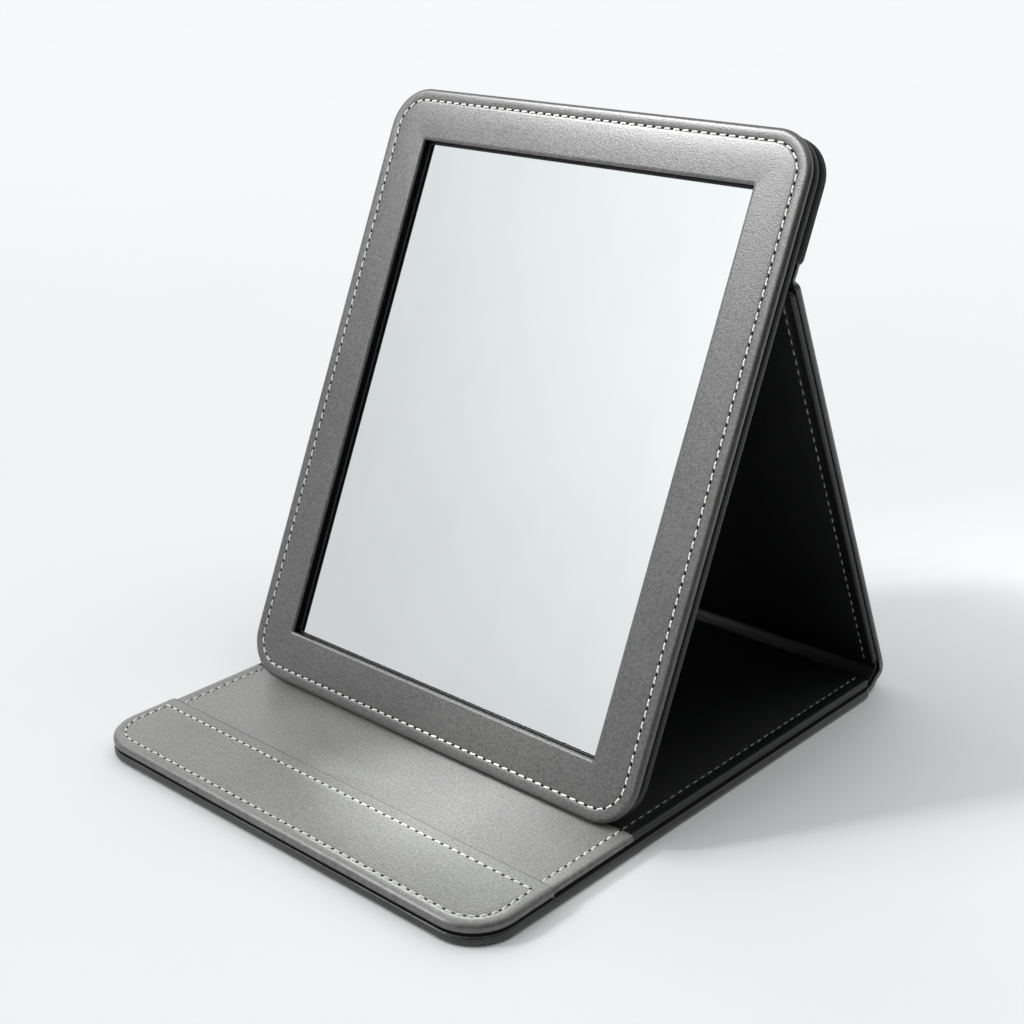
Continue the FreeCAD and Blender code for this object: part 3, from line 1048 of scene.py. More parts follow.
@dataclass(frozen=True)
class Sewing:
    """One gauge of stitch: separate twisted strands between needle holes."""

    pitch: float = 3.62
    strand_length: float = 2.45
    strand_radius: float = 0.45
    strand_sides: int = 8
    strand_steps: int = 6
    flattening: float = 0.7
    twist_deg: float = 32.0
    end_taper: float = 0.5
    dip: float = 0.2
    slant_deg: float = 8.0
    unevenness: float = 0.03
    rhythm: float = 2.4
    hole_length: float = 0.82
    hole_breadth: float = 0.58
    hole_depth: float = 0.16
    thread: Finishes = Finishes.THREAD

    def strand(self) -> bpy.types.Mesh:
        """One stitch along X: a flattened twisted strand that tapers and dips at both ends."""
        shape = bmesh.new()
        half = self.strand_length / 2
        bmesh.ops.create_circle(shape, cap_ends=True, segments=self.strand_sides, radius=self.strand_radius,
                                matrix=Matrix.Rotation(math.pi / 2, 4, "Y"))
        bmesh.ops.scale(shape, vec=(1.0, 1.0, self.flattening), verts=shape.verts[:])
        bmesh.ops.translate(shape, vec=(-half, 0.0, 0.0), verts=shape.verts[:])
        cap = shape.faces[:][0]
        rings = [list(cap.verts)]
        turn = Matrix.Rotation(math.radians(self.twist_deg), 3, "X")
        for _ in range(self.strand_steps):
            made = bmesh.ops.extrude_face_region(shape, geom=[cap])["geom"]
            verts = [g for g in made if isinstance(g, bmesh.types.BMVert)]
            cap = next(g for g in made if isinstance(g, bmesh.types.BMFace))
            bmesh.ops.translate(shape, vec=(self.strand_length / self.strand_steps, 0.0, 0.0), verts=verts)
            bmesh.ops.rotate(shape, cent=ZERO, matrix=turn, verts=verts)
            rings.append(verts)
        for ring in rings:
            share = abs(ring[0].co.x) / half
            middle = Vector((ring[0].co.x, 0.0, 0.0))
            size = 1.0 - self.end_taper * share ** 3
            bmesh.ops.scale(shape, vec=(1.0, size, size), space=Matrix.Translation(-middle), verts=ring)
            bmesh.ops.translate(shape, vec=(0.0, 0.0, -self.dip * share ** 2), verts=ring)
        bmesh.ops.recalc_face_normals(shape, faces=shape.faces[:])
        return self._keep(shape, "stitch_strand", 0)

    def hole(self) -> bpy.types.Mesh:
        """One needle hole: a shallow dark dent."""
        shape = bmesh.new()
        bmesh.ops.create_uvsphere(shape, u_segments=8, v_segments=4, radius=1.0)
        sizes = self.hole_length, self.hole_breadth, self.hole_depth
        bmesh.ops.scale(shape, vec=sizes, verts=shape.verts[:])
        return self._keep(shape, "needle_hole", 1)

    @staticmethod
    def _keep(shape: bmesh.types.BMesh, name: str, material: int) -> bpy.types.Mesh:
        """Turn a pattern shape into smooth mesh data.

        Args:
            shape: the shape, which is freed.
            name: the pattern's name.
            material: number of its material on the stitches.

        Returns:
            The mesh data.
        """
        for face in shape.faces:
            face.material_index = material
            face.smooth = True
        data = bpy.data.meshes.new(name)
        shape.to_mesh(data)
        shape.free()
        return data

    def sew(self, name: str, seams: list[Seam], levels: Pair, place: Place, body: Carrier, node: str) -> None:
        """Sew seams on one layer.

        Args:
            name: the piece's name.
            seams: sewn lines in the layer's flat frame.
            levels: heights of the strands' middles and of the needle holes.
            place: where the flat frame stands.
            body: the body that carries the layer.
            node: CAD node that the stitches stand for.
        """
        shaper = Shaper()
        strand, hole = self.strand(), self.hole()
        slant = math.radians(self.slant_deg)
        for seam in seams:
            count = max(1, round(seam.length() / self.pitch))
            pitch = seam.length() / count
            for index in range(count):
                x, y, heading = seam.at((index + 0.5) * pitch)
                lift = self.unevenness * math.sin(self.rhythm * index)
                self._set(shaper, strand, (x, y, levels[0] + lift), heading + slant)
            for index in range(count if seam.closed else count + 1):
                x, y, heading = seam.at(index * pitch)
                self._set(shaper, hole, (x, y, levels[1]), heading)
        bmesh.ops.transform(shaper.mesh, matrix=place.matrix(), verts=shaper.mesh.verts[:])
        for pattern in (strand, hole):
            bpy.data.meshes.remove(pattern)
        carry(shaper.hand_over(name, self.thread, Finishes.PIT), body, self.thread, node)

    @staticmethod
    def _set(shaper: Shaper, pattern: bpy.types.Mesh, spot: Triple, heading: float) -> None:
        """Add one copy of a pattern.

        Args:
            shaper: the mesh that takes it.
            pattern: the strand or the hole.
            spot: where its middle goes.
            heading: direction in the layer, in radians.
        """
        copy = pattern.copy()
        copy.transform(Matrix.Translation(spot) @ Matrix.Rotation(heading, 4, "Z"))
        shaper.mesh.from_mesh(copy)
        bpy.data.meshes.remove(copy)


@dataclass
class BaseTray:
    """Two-layer base with a grey lining in front, a black one behind and a seam along each side.

    Sizes are in millimetres here and in the other parts of the case.
    """

    case: CaseSizes
    sewing: Sewing
    fine_sewing: Sewing
    corner_radius: float = 16.0
    rear_corner_radius: float = 3.0
    outer_lower_roll: float = 1.6
    outer_upper_roll: float = 1.9
    inner_roll: float = 1.4
    groove_inset: float = 0.6
    stitch_inset: float = 5.0
    stitch_start_gap: float = 1.0
    stitch_end_gap: float = 1.6
    stitch_sink: float = 0.16
    hole_sink: float = 0.3
    furrow_half: float = 0.7
    furrow_depth: float = 0.3

    def build(self) -> None:
        """Make the layers and their seams."""
        case = self.case
        whole = Outline(case.base_half, case.base_front, case.base_rear, self.corner_radius,
                        self.rear_corner_radius)
        outer = Shaper()
        outer.slab(whole, 0.0, case.base_outer_thickness, self.outer_lower_roll, self.outer_upper_roll)
        outer.lay("base_cover", Place(), Carrier.BASE, Finishes.LAYERED, "base_outer_leather")
        half = case.base_half - case.strip_thickness
        front = case.base_front + case.strip_thickness
        radius = self.corner_radius - case.strip_thickness
        # The grey lining is in the lighter copy of the grey leather: painted light.
        self._lining("base_grey_lining", Outline(half, front, case.lining_split, radius, 0.0), Finishes.GREY_LIT,
                     "base_front_lining", square_high=True)
        self._lining("base_black_lining",
                     Outline(half, case.lining_split, case.base_rear, 0.0, self.rear_corner_radius),
                     Finishes.BLACK, "base_rear_lining", square_low=True)
        # Black band in the groove between the base's layers: painted shade.
        groove_shade("base_groove_shade", whole.inset(self.groove_inset), case.base_outer_thickness, Place(),
                Carrier.BASE)
        start = case.base_front + case.strip_depth + self.stitch_start_gap
        end = case.base_rear - self.stitch_end_gap
        levels = case.base_top - self.stitch_sink, case.base_top - self.hole_sink
        for name, gauge, low, high in (("base_stitches_front", self.sewing, start, case.lining_split),
                                       ("base_stitches_rear", self.fine_sewing, case.lining_split, end)):
            gauge.sew(name, Seam.both_sides(half - self.stitch_inset, low, high), levels, Place(),
                      Carrier.BASE, "base_stitching")

    def _lining(self, name: str, outline: Outline, finish: Finishes, node: str, square_low: bool = False,
                square_high: bool = False) -> None:
        """One part of the upper layer.

        Args:
            name: the piece's name.
            outline: its outline.
            finish: its leather cloth.
            node: CAD node that it stands for.
            square_low: its low end meets the other part.
            square_high: its high end meets the other part.
        """
        shaper = Shaper()
        shaper.slab(outline, self.case.base_outer_thickness, self.case.base_top, self.inner_roll,
                    self.inner_roll, square_low, square_high)
        for side in SIDES:
            shaper.furrow(side * (outline.half - self.stitch_inset), self.case.base_top, self.furrow_half,
                          self.furrow_depth)
        shaper.lay(name, Place(), Carrier.BASE, finish, node)


@dataclass
class FrontStrip:
    """Raised strip sewn round the front of the base."""

    case: CaseSizes
    sewing: Sewing
    corner_radius: float = 16.0
    tuck_gap: float = 0.25
    upper_roll: float = 2.05
    lower_roll: float = 1.6
    fold_roll: float = 0.4
    stitch_inset: float = 4.4
    stitch_rear_inset: float = 4.5
    stitch_sink: float = 0.14
    hole_sink: float = 0.28
    edge_breadth: float = 0.45
    edge_drop: float = 0.14
    edge_inset: float = 0.2
    furrow_half: float = 0.75
    furrow_depth: float = 0.3
    furrow_rings: tuple[Pair, ...] = ((0.375, -0.55), (0.375, -0.45), (0.375, 0.45), (0.375, 0.4),
                                      (1.2, 0.15))

    def build(self) -> None:
        """Make the strip with its sewing furrow, then a dark band of painted shade along its rear edge, and
        its seam.
        """
        case = self.case
        rear = case.base_front + case.strip_depth
        low = case.base_outer_thickness + self.tuck_gap
        high = case.base_top + case.strip_thickness
        outline = Outline(case.base_half, case.base_front, rear, self.corner_radius, 0.0)
        shaper = Shaper()
        shaper.raise_face(shaper.plate(outline, low), high - low)
        for up, radius, at_rear in ((False, self.lower_roll, False), (True, self.upper_roll, False),
                                    (True, self.fold_roll, True)):
            rim = [e for e in shaper.facing(up).edges
                   if (min(v.co.y for v in e.verts) > rear - MM) == at_rear]
            shaper.roll(rim, radius)
        seam = Outline(case.base_half - self.stitch_inset, case.base_front + self.stitch_inset,
                       rear - self.stitch_rear_inset, self.corner_radius - self.stitch_inset, 0.0)
        top = shaper.facing(True)
        field_face = shaper.plate(seam.inset(-self.furrow_half), high)
        shaper.join([top], (field_face,))
        rings = ((breadth, self.furrow_depth * rise) for breadth, rise in self.furrow_rings)
        shaper.step_in(field_face, *rings)
        # The strip is in the lighter copy of the grey leather: painted light.
        shaper.lay("front_strip", Place(), Carrier.BASE, Finishes.GREY_LIT, "front_strip_leather")
        self._edge_shade_line(rear, low, high)
        self.sewing.sew("strip_stitches", [Seam.loop(seam)], (high - self.stitch_sink, high - self.hole_sink),
                        Place(), Carrier.BASE, "strip_stitching")

    def _edge_shade_line(self, rear: float, low: float, high: float) -> None:
        """A dark band along the strip's rear edge: painted shade where the strip steps down onto the lining.

        Args:
            rear: where the strip ends.
            low: level of its underside.
            high: level of its upper face.
        """
        edge = Shaper()
        outline = Outline(self.case.base_half - self.edge_inset, low, high - self.edge_drop, 0.0,
                          self.upper_roll)
        edge.raise_face(edge.plate(outline, 0.0), self.edge_breadth)
        behind = Matrix.Translation((0.0, rear + self.edge_breadth, 0.0))
        upright = Matrix.Rotation(math.pi / 2, 4, "X")
        bmesh.ops.transform(edge.mesh, matrix=behind @ upright, verts=edge.mesh.verts[:])
        edge.lay("strip_edge_shade", Place(), Carrier.BASE, Finishes.GREY)


@dataclass
class Leg:
    """Rear leg: a black lining layer and a thin cover layer, sewn along both sides."""

    case: CaseSizes
    sewing: Sewing
    corner_radius: float = 2.5
    outer_thickness: float = 2.4
    outer_offset: float = 1.8
    outer_roll: float = 0.9
    inner_thickness: float = 2.3
    inner_inset: float = 0.8
    inner_face_roll: float = 1.1
    inner_seam_roll: float = 0.8
    lower_gap: float = 3.0
    upper_gap: float = 2.8
    groove_inset: float = 0.95
    stitch_inset: float = 4.3
    stitch_end_gap: float = 1.4
    stitch_sink: float = 0.16
    hole_sink: float = 0.28
    furrow_half: float = 0.7
    furrow_depth: float = 0.28

    def build(self) -> None:
        """Make both layers and the seams."""
        case, place = self.case, self.case.leg_place()
        half = case.panel_half
        rounds = self.corner_radius, self.corner_radius
        low = case.spine_radius + case.hinge_clearance
        high = case.pivot_length - case.hinge_radius - case.hinge_clearance
        seam_level = self.outer_thickness - self.outer_offset
        outer = Shaper()
        outer.slab(Outline(half, low, high, *rounds), -self.outer_offset, seam_level, self.outer_roll,
                   self.outer_roll)
        outer.lay("leg_cover", place, Carrier.LEG, Finishes.COVER, "leg_outer_leather")
        top = seam_level + self.inner_thickness
        inner_half = half - self.inner_inset
        inner_low, inner_high = self.lower_gap, case.pivot_length - self.upper_gap
        inner = Shaper()
        inner.slab(Outline(inner_half, inner_low, inner_high, *rounds), seam_level, top, self.inner_seam_roll,
                   self.inner_face_roll)
        for side in SIDES:
            inner.furrow(side * (inner_half - self.stitch_inset), top, self.furrow_half, self.furrow_depth)
        inner.lay("leg_lining", place, Carrier.LEG, Finishes.BLACK, "leg_inner_leather")
        groove = Outline(half, inner_low, inner_high, *rounds).inset(self.groove_inset)
        # Black band in the groove between the leg's layers: painted shade.
        groove_shade("leg_groove_shade", groove, seam_level, place, Carrier.LEG)
        seams = Seam.both_sides(inner_half - self.stitch_inset, inner_low + self.stitch_end_gap,
                                inner_high - self.stitch_end_gap)
        self.sewing.sew("leg_stitches", seams, (top - self.stitch_sink, top - self.hole_sink), place,
                        Carrier.LEG, "leg_stitching")


@dataclass
class MirrorPanel:
    """Framed mirror with its back layer and the cover panel bonded to it."""

    case: CaseSizes
    sewing: Sewing
    corner_radius: float = 15.0
    margin: float = 18.7
    front_roll: float = 1.6
    seam_roll: float = 1.75
    stitch_inset: float = 4.5
    stitch_sink: float = 0.15
    hole_sink: float = 0.31
    furrow_rings: tuple[Pair, ...] = ((0.7, 0.0), (1.2, -0.03), (0.5, -0.11), (0.5, -0.18), (0.45, 0.19),
                                      (0.35, 0.07), (0.35, 0.03), (4.5, 0.0))
    lip_breadth: float = 1.3
    lip_round: float = 1.6
    lip_rings: tuple[Pair, ...] = ((0.4, -0.03), (0.35, -0.1), (0.28, -0.18), (0.17, -0.2), (0.1, -0.25))
    liner_tuck: float = 0.45
    liner_round: float = 0.3
    wall_drop: float = 0.95
    bead_gap: float = 0.5
    bead_height: float = 0.35
    bead_breadth: float = 0.3
    back_side_inset: float = 0.1
    back_seam_roll: float = 1.6
    groove_inset: float = 0.4
    glass_thickness: float = 1.8
    glass_overlap: float = 5.0
    glass_edge: float = 0.15
    tray_breadth: float = 12.0
    tray_depth: float = 2.4
    tray_wall: float = 0.01
    cover_corner_radius: float = 14.0
    cover_lower_corner_radius: float = 3.0
    cover_outer_roll: float = 2.2
    cover_seam_roll: float = 1.6

    def build(self) -> None:
        """Make the frame with its seam, the mirror in its window, the back layer and the cover panel."""
        self._frame()
        self._window()
        self._back()

    @property
    def _place(self) -> Place:
        """The panel's flat frame."""
        return self.case.panel_place()

    def _outline(self, low: float = 0.0, inset: float = 0.0) -> Outline:
        """The panel's outline from a level up, with its sides and its top set in."""
        return Outline(self.case.panel_half - inset, low, self.case.panel_height - inset, self.corner_radius,
                       self.corner_radius)

    def _frame(self) -> None:
        """The padded frame: outer roll, sewing furrow, soft field and the lip that turns into the window."""
        thickness = self.case.frame_thickness
        shaper = Shaper()
        shaper.raise_face(shaper.plate(self._outline(), -thickness), thickness)
        shaper.roll(list(shaper.facing(False).edges), self.seam_roll)
        shaper.roll(list(shaper.facing(True).edges), self.front_roll)
        face = shaper.facing(True)
        shaper.step_in(face, *self.furrow_rings)
        under = shaper.facing(False)
        window = Outline(self.case.panel_half, 0.0, self.case.panel_height).inset(self.margin)
        lip = window.inset(-self.lip_breadth).rounded(self.lip_round)
        field_face = shaper.plate(lip, face.calc_center_median().z)
        shaper.join([face], (field_face,))
        shaper.step_in(field_face, *self.lip_rings)
        tucked = window.inset(-self.liner_tuck).rounded(self.liner_round)
        before = set(shaper.mesh.faces)
        upper_wall = shaper.raise_face(shaper.plate(tucked, -thickness), thickness - self.wall_drop)
        lower_wall = next(f for f in shaper.mesh.faces if f not in before
                          and all(abs(v.co.z + thickness) < shaper.near_by for v in f.verts))
        shaper.join([field_face, upper_wall])
        shaper.join([under, lower_wall], flat=True)
        shaper.lay("mirror_frame", self._place, Carrier.PANEL, Finishes.GREY, "frame_leather")
        seam = Seam.loop(self._outline().inset(self.stitch_inset))
        self.sewing.sew("frame_stitches", [seam], (-self.stitch_sink, -self.hole_sink), self._place,
                        Carrier.PANEL, "frame_stitching")

    def _window(self) -> None:
        """The bead round the window and the mirror sheet behind it."""
        square = Outline(self.case.panel_half, 0.0, self.case.panel_height)
        level = -self.case.frame_thickness
        bead = Shaper()
        bead.band(square.inset(self.margin + self.bead_gap), level, level + self.bead_height,
                  self.bead_breadth)
        bead.lay("window_bead", self._place, Carrier.PANEL, Finishes.SLATE)
        glass = Shaper()
        glass.slab(square.inset(self.margin - self.glass_overlap), level - self.glass_thickness, level,
                   self.glass_edge, self.glass_edge)
        glass.lay("mirror_sheet", self._place, Carrier.PANEL, Finishes.MIRROR, "mirror_glass")

    def _back(self) -> None:
        """The back layer, hollowed for the mirror, and the cover panel on it."""
        case, place = self.case, self._place
        joint, floor = -case.frame_thickness, -case.panel_lower_thickness
        back = Shaper()
        back.slab(self._outline(case.back_foot_inset, self.back_side_inset), floor, joint,
                  case.foot_edge_radius, self.back_seam_roll)
        back.step_in(back.facing(True), (self.tray_breadth, 0.0), (self.tray_wall, -self.tray_depth))
        back.lay("panel_back", place, Carrier.PANEL, Finishes.SLATE, "back_leather")
        outline = Outline(case.panel_half - case.cover_panel_inset, case.cover_low,
                          case.panel_height - case.cover_panel_inset, self.cover_lower_corner_radius,
                          self.cover_corner_radius)
        cover = Shaper()
        cover.slab(outline, floor - case.cover_panel_thickness, floor, self.cover_outer_roll,
                   self.cover_seam_roll)
        # The cover panel is in the darker copy of the cover leather: painted shade.
        cover.lay("cover_panel", place, Carrier.PANEL, Finishes.COVER_SHADED, "cover_panel_leather")
        # Black bands in the grooves between frame, back layer and cover panel: painted shade.
        for name, groove, level in (("frame_groove_shade", self._outline(case.back_foot_inset), joint),
                                    ("cover_groove_shade", outline, floor)):
            groove_shade(name, groove.inset(self.groove_inset), level, place, Carrier.PANEL)


@dataclass(frozen=True)
class Cloth:
    """Leather cloth of one bend: its finish, the CAD node that it stands for and its sizes."""

    finish: Finishes
    node: str
    half: float
    thickness: float
    ripple: float


@dataclass(frozen=True)
class Bend:
    """One leather bend across a joint: its path in the side view and where it turns."""

    name: str
    first: Carrier
    second: Carrier
    cloth: Cloth
    path: tuple[Pair, ...]
    turn_from: Pair
    turn_to: Pair
    span_points: int = 6

    def build(self) -> None:
        """Make the cloth on a smooth curve through the path's points."""
        knots = [Vector((0.0, y, z)) for y, z in self.path]
        points = []
        for index in range(len(knots) - 1):
            before = knots[max(index - 1, 0)]
            after = knots[min(index + 2, len(knots) - 1)]
            start, end = knots[index], knots[index + 1]
            reach = (end - start).length / 3
            leave = (end - before).normalized() * reach
            arrive = (after - start).normalized() * reach
            span = interpolate_bezier(start, start + leave, end - arrive, end, self.span_points)
            points.extend(span if not points else span[1:])
        cloth = self.cloth
        shaper = Shaper()
        shaper.cloth(points, cloth.half, cloth.thickness, cloth.ripple)
        piece = shaper.settle(self.name, Place(), cloth.finish)
        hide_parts(cloth.node)
        2 * cloth.half * MM
        self.turn_from[0] * MM
        self.turn_from[1] * MM
        self.turn_to[0] * MM
        self.turn_to[1] * MM
        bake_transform(piece)


def steps_from(origin: Pair, *steps: Pair) -> tuple[Pair, ...]:
    """Points of the side view at steps from an origin."""
    return tuple((origin[0] + y, origin[1] + z) for y, z in steps)


def halfway(first: Pair, second: Pair) -> Pair:
    """The point of the side view between two others."""
    return (first[0] + second[0]) / 2, (first[1] + second[1]) / 2


@dataclass
class LeatherBends:
    """The spine between base and leg, and the upper hinge between leg and panel.

    Points in the base are counted from its rear edge, points in the leg or the panel along and across it, and
    the others from an axis or from the middle between two.
    """

    case: CaseSizes
    spine_thickness: float = 2.2
    spine_inset: float = 0.4
    lining_thickness: float = 0.6
    lining_inset: float = 1.2
    hinge_thickness: float = 1.2
    hinge_inset: float = 1.0
    firm_ripple: float = 0.03
    soft_ripple: float = 0.1
    spine_in_base: tuple[Pair, ...] = ((-4.5, 1.95), (0.5, 1.95))
    spine_under_axis: Pair = (1.7, 2.75)
    spine_bulge: Pair = (0.75, -1.0)
    spine_round_axis: Pair = (0.1, -1.6)
    spine_in_leg: tuple[Pair, ...] = ((2.8, -0.6), (9.0, -0.6))
    spine_lower_turn: tuple[Pair, Pair] = ((0.2, 1.95), (2.2, 3.4))
    spine_upper_turn: tuple[Pair, Pair] = ((-1.0, -2.6), (0.2, 1.6))
    lining_in_base: tuple[Pair, ...] = ((-6.5, 5.6), (-0.3, 5.55), (1.6, 5.2))
    lining_crease: Pair = (-0.7, 0.95)
    lining_rise: Pair = (1.5, 2.1)
    lining_in_leg: tuple[Pair, ...] = ((3.6, 1.9), (9.0, 1.9))
    lining_lower_turn: tuple[Pair, Pair] = ((0.2, 5.5), (1.6, 6.4))
    lining_upper_turn: tuple[Pair, Pair] = ((0.6, 0.8), (3.2, 1.9))
    hinge_in_leg: tuple[Pair, ...] = ((-12.0, -0.6), (-2.4, -0.6))
    hinge_in_cover: tuple[Pair, ...] = ((2.0, 0.0), (11.0, 0.0))

    def build(self) -> None:
        """Make every bend."""
        for bend in self._spine() + self._lining() + self._hinge():
            bend.build()

    def _spine(self) -> tuple[Bend, ...]:
        """The spine's outer leather."""
        case = self.case
        cloth = Cloth(Finishes.COVER, "spine_leather", case.panel_half - self.spine_inset,
                      self.spine_thickness, self.firm_ripple)
        edge, axis = (case.base_rear, 0.0), (case.spine_axis[0], 0.0)
        bulge = steps_from(halfway(case.spine_axis, case.leg_axis), self.spine_bulge)
        lower = (*steps_from(edge, *self.spine_in_base), *steps_from(axis, self.spine_under_axis), *bulge)
        upper = (*bulge, *steps_from(case.leg_axis, self.spine_round_axis),
                 *case.leg_place().side(*self.spine_in_leg))
        first, second = self.spine_lower_turn
        return (Bend("spine_cover_lower", Carrier.BASE, Carrier.SPINE, cloth, lower,
                     *steps_from(edge, first), *steps_from(axis, second)),
                Bend("spine_cover_upper", Carrier.SPINE, Carrier.LEG, cloth, upper,
                     *steps_from(case.leg_axis, *self.spine_upper_turn)))

    def _lining(self) -> tuple[Bend, ...]:
        """The spine's inner lining, creased in the corner."""
        case, leg = self.case, self.case.leg_place()
        cloth = Cloth(Finishes.BLACK, "spine_lining", case.panel_half - self.lining_inset,
                      self.lining_thickness, self.soft_ripple)
        edge, axis = (case.base_rear, 0.0), (case.spine_axis[0], 0.0)
        (crease,) = steps_from(halfway(case.spine_axis, case.leg_axis), self.lining_crease)
        lower = (*steps_from(edge, *self.lining_in_base), crease)
        upper = (crease, *steps_from(crease, self.lining_rise), *leg.side(*self.lining_in_leg))
        (first, second), (third, fourth) = self.lining_lower_turn, self.lining_upper_turn
        return (Bend("spine_lining_lower", Carrier.BASE, Carrier.SPINE, cloth, lower,
                     *steps_from(edge, first), *steps_from(axis, second)),
                Bend("spine_lining_upper", Carrier.SPINE, Carrier.LEG, cloth, upper,
                     *steps_from(crease, third), *leg.side(fourth)))

    def _hinge(self) -> tuple[Bend, ...]:
        """The leather between the leg's upper end and the cover panel."""
        case, leg, panel = self.case, self.case.leg_place(), self.case.panel_place()
        cloth = Cloth(Finishes.COVER, "upper_hinge_leather", case.panel_half - self.hinge_inset,
                      self.hinge_thickness, self.firm_ripple)
        leg_end, cover_end = (case.pivot_length, 0.0), (case.cover_axis[0], -case.cover_axis[1])
        in_leg = leg.side(*steps_from(leg_end, *self.hinge_in_leg))
        in_cover = panel.side(*steps_from(cover_end, *self.hinge_in_cover))
        (leg_axis,), (cover_axis,) = leg.side(leg_end), panel.side(cover_end)
        middle = halfway(leg_axis, cover_axis)
        return (Bend("upper_bend_lower", Carrier.LEG, Carrier.UPPER, cloth, (*in_leg, leg_axis, middle),
                     in_leg[1], middle),
                Bend("upper_bend_upper", Carrier.UPPER, Carrier.PANEL, cloth, (middle, cover_axis, *in_cover),
                     middle, in_cover[0]))


class KeptSolids:
    """CAD nodes by finish: those that stay in sight or inside, and those that pieces stand for."""

    nodes: dict[Finishes, str] = {
        Finishes.MIRROR: "mirror_glass",
        Finishes.LINER: "window_liner",
        Finishes.TAPE: "glass_tape",
        Finishes.BOARD: "glass_carrier back_board cover_panel_board frame_board base_outer_board"
                        " base_inner_board leg_outer_board leg_inner_board",
        Finishes.STEEL: "strip_keepers",
        Finishes.MAGNET: "frame_magnets",
        Finishes.GREY: "frame_leather",
        Finishes.GREY_LIT: "front_strip_leather base_front_lining",
        Finishes.BLACK: "base_rear_lining leg_inner_leather spine_lining",
        Finishes.SLATE: "back_leather",
        Finishes.COVER: "base_outer_leather leg_outer_leather spine_leather upper_hinge_leather"
                        " cover_panel_leather",
        Finishes.THREAD: "base_stitching strip_stitching leg_stitching frame_stitching",
    }

    def dress(self) -> None:
        """Give every CAD node its finish."""
        for finish, names in self.nodes.items():
            for name in names.split():
                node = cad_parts[name]
                node.data.materials.clear()
                node.data.materials.append(finish.value.material())
                log.info("node %s in %s", name, finish.value.name)


def hang(light: bpy.types.Light, place: Vector, aim: Vector) -> bpy.types.Object:
    """Hang a light and turn it.

    Args:
        light: the light.
        place: where it hangs.
        aim: the point that it is turned to.

    Returns:
        The hung light.
    """
    made = bpy.data.objects.new(light.name, light)
    bpy.context.scene.collection.objects.link(made)
    made.location = place
    made.rotation_euler = (aim - place).to_track_quat("-Z", "Y").to_euler()
    return made


@dataclass(frozen=True)
class Lamp:
    """An area lamp: size in metres, spread of its beam, power in watts, place, aim and whether it glints."""

    name: str
    breadth: float
    depth: float
    spread_deg: float
    power: float
    place: Triple
    aim: Triple
    glints: bool = True

    def build(self) -> None:
        """Make the lamp and hang it."""
        light = bpy.data.lights.new(self.name, "AREA")
        light.shape = "RECTANGLE"
        light.size, light.size_y = self.breadth, self.depth
        light.spread = math.radians(self.spread_deg)
        light.energy = self.power
        hang(light, Vector(self.place), Vector(self.aim)).visible_glossy = self.glints


@dataclass(frozen=True)
class FarLight:
    """A light so far away that its rays run side by side: direction, strength and how far it spreads."""

    name: str
    towards: Triple
    strength: float
    spread_deg: float
    shown_distance: float = 2.0

    def build(self) -> None:
        """Make the light and hang it."""
        light = bpy.data.lights.new(self.name, "SUN")
        light.energy = self.strength
        light.angle = math.radians(self.spread_deg)
        hang(light, Vector(self.towards) * self.shown_distance, Vector())


@dataclass(frozen=True)
class Glow:
    """A bright part of the surroundings: direction, cosines where it starts and is full, and strength."""

    towards: Triple
    start: float
    full: float
    strength: float

    def share(self, graph: Graph, look: bpy.types.NodeSocket) -> Num:
        """Light that the part adds in a direction."""
        axis = tuple(Vector(self.towards).normalized())
        return graph.along(look, axis).ramp(self.start, self.full) * self.strength


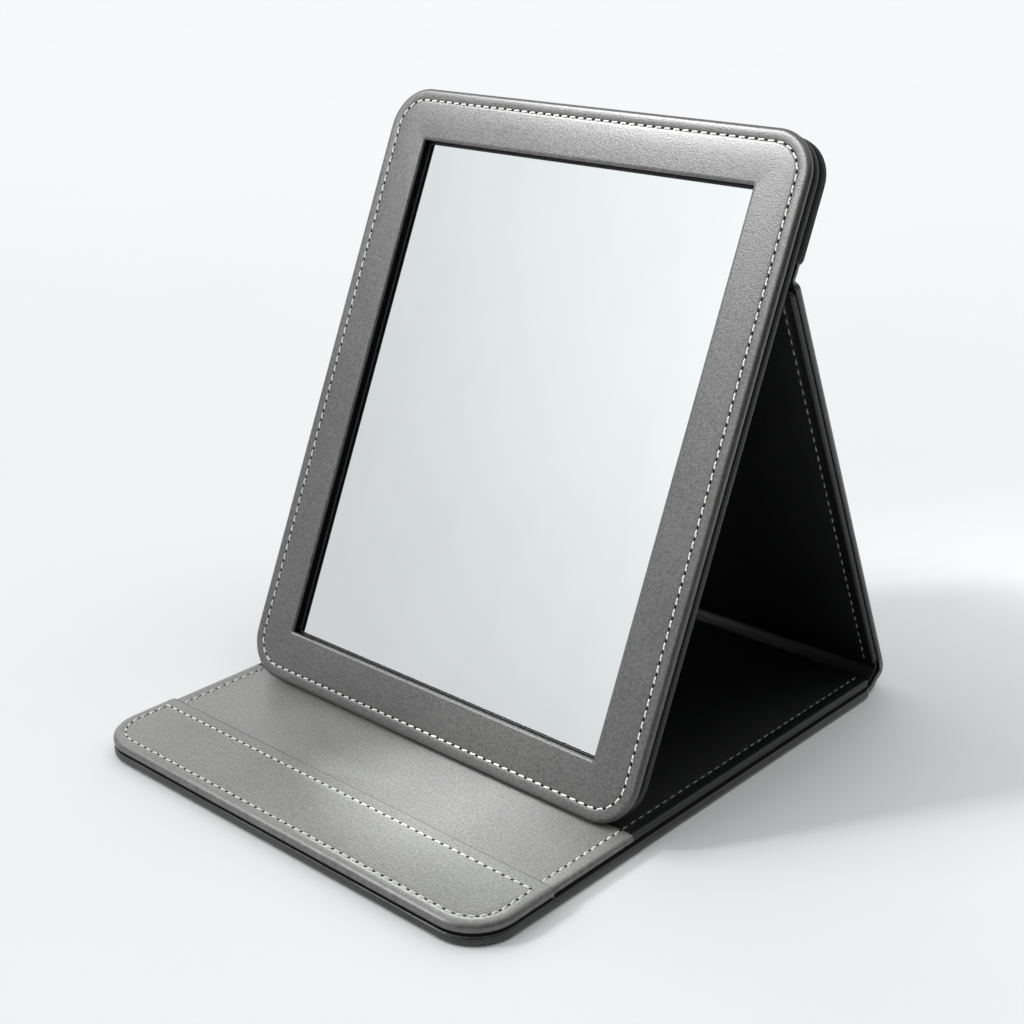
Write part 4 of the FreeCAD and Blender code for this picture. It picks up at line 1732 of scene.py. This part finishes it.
@dataclass
class Studio:
    """Pale floor, light from the upper left, dark surroundings on the right and the photograph's camera."""

    lens: float = 58.371
    sensor: float = 36.0
    clip: Pair = (0.01, 60.0)
    azimuth_deg: float = 42.045
    elevation_deg: float = 21.226
    roll_deg: float = -0.299
    eye: Triple = (0.35986, -0.39403, 0.28717)
    floor_half: float = 9.0
    floor_cells: int = 8
    floor_drop: float = 0.0002
    lights: tuple[FarLight | Lamp, ...] = (
        FarLight("key_light", (-0.518, -0.564, 0.643), 0.7, 5.0),
        FarLight("left_light", (-0.62, -0.3, 0.725), 0.45, 20.0),
        Lamp("sheen_box", 0.12, 0.12, 24.0, 0.066, (-0.35, -0.32, 0.67), (0.0, 0.045, 0.2)),
        Lamp("lining_light", 0.03, 0.01, 15.0, 0.0185, (0.035, -0.053, 0.45), (0.035, -0.0525, 0.0), False))
    sky: Colour = (0.985, 0.995, 1.0)
    backdrop: float = 0.87
    even_fill: float = 0.01
    glows: tuple[Glow, ...] = (
        Glow((-0.75, 0.35, 0.55), -0.5, 0.2, 0.72),
        Glow((-0.255, -0.764, 0.592), 0.8, 1.05, 0.6),
        Glow((0.0, 0.0, 1.0), 0.55, 0.95, 0.28),
        Glow((0.3, 0.8, 0.5), 0.3, 0.9, 0.08))
    mirrored: Glow = Glow((0.75, -0.35, 0.3), 0.15, 0.7, 0.7)

    def build(self) -> None:
        """Set the floor, the lights, the surroundings and the camera."""
        self._floor()
        for light in self.lights:
            light.build()
        self._surroundings()
        self._camera()
        bpy.context.scene.view_settings.view_transform = "Standard"

    def _floor(self) -> None:
        """A wide pale floor just under the base."""
        shaper = Shaper()
        bmesh.ops.create_grid(shaper.mesh, x_segments=self.floor_cells, y_segments=self.floor_cells,
                              size=self.floor_half)
        bmesh.ops.translate(shaper.mesh, vec=(0.0, 0.0, -self.floor_drop), verts=shaper.mesh.verts[:])
        shaper.hand_over("studio_floor", Finishes.FLOOR)

    def _surroundings(self) -> None:
        """Surroundings that light the case, a plain backdrop to look at and a bright side for the mirror."""
        world = bpy.data.worlds.new("white_studio")
        bpy.context.scene.world = world
        world.use_nodes = True
        graph = Graph(world.node_tree)
        look = graph.node("ShaderNodeTexCoord").outputs["Generated"]
        path = graph.node("ShaderNodeLightPath").outputs
        in_mirror = self.mirrored.share(graph, look) * Num(graph, path["Is Singular Ray"])
        strength = sum((glow.share(graph, look) for glow in self.glows), self.even_fill + in_mirror)
        lit, plain = (graph.node("ShaderNodeBackground", {}, {"Color": (*self.sky, 1.0), "Strength": level})
                      for level in (strength, self.backdrop))
        both = graph.node("ShaderNodeMixShader", {}, {0: path["Is Camera Ray"], 1: lit.outputs["Background"],
                                                      2: plain.outputs["Background"]})
        graph.node("ShaderNodeOutputWorld", {}, {"Surface": both.outputs["Shader"]})

    def _camera(self) -> None:
        """The camera at the photograph's viewing angle."""
        data = bpy.data.cameras.new("photo_camera")
        data.lens = self.lens
        data.sensor_width = self.sensor
        data.sensor_fit = "HORIZONTAL"
        data.clip_start, data.clip_end = self.clip
        made = bpy.data.objects.new("photo_camera", data)
        bpy.context.scene.collection.objects.link(made)
        turn, rise = math.radians(self.azimuth_deg), math.radians(self.elevation_deg)
        back = Vector((math.sin(turn) * math.cos(rise), -math.cos(turn) * math.cos(rise), math.sin(rise)))
        right = Vector((math.cos(turn), math.sin(turn), 0.0))
        upright = Matrix((right, back.cross(right), back)).transposed()
        leaning = upright @ Matrix.Rotation(math.radians(self.roll_deg), 3, "Z")
        made.matrix_world = Matrix.Translation(self.eye) @ leaning.to_4x4()
        bpy.context.scene.camera = made


def main() -> None:
    """Build the looks sub-assembly by sub-assembly."""
    logging.basicConfig(level=logging.INFO, format="%(message)s")
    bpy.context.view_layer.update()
    case = CaseSizes()
    sewing = Sewing()
    # Finer stitches for the black lining, in the grey copy of the thread: painted shade.
    fine_sewing = Sewing(pitch=4.1, strand_length=2.4, strand_radius=0.3, dip=0.16, slant_deg=4.0,
                         hole_length=0.4, hole_breadth=0.26, thread=Finishes.SHADED_THREAD)
    KeptSolids().dress()
    for part in (BaseTray(case, sewing, fine_sewing), FrontStrip(case, sewing), Leg(case, fine_sewing),
                 MirrorPanel(case, sewing), LeatherBends(case), Studio()):
        part.build()
        log.info("built %s", type(part).__name__)


if __name__ == "__main__":
    main()
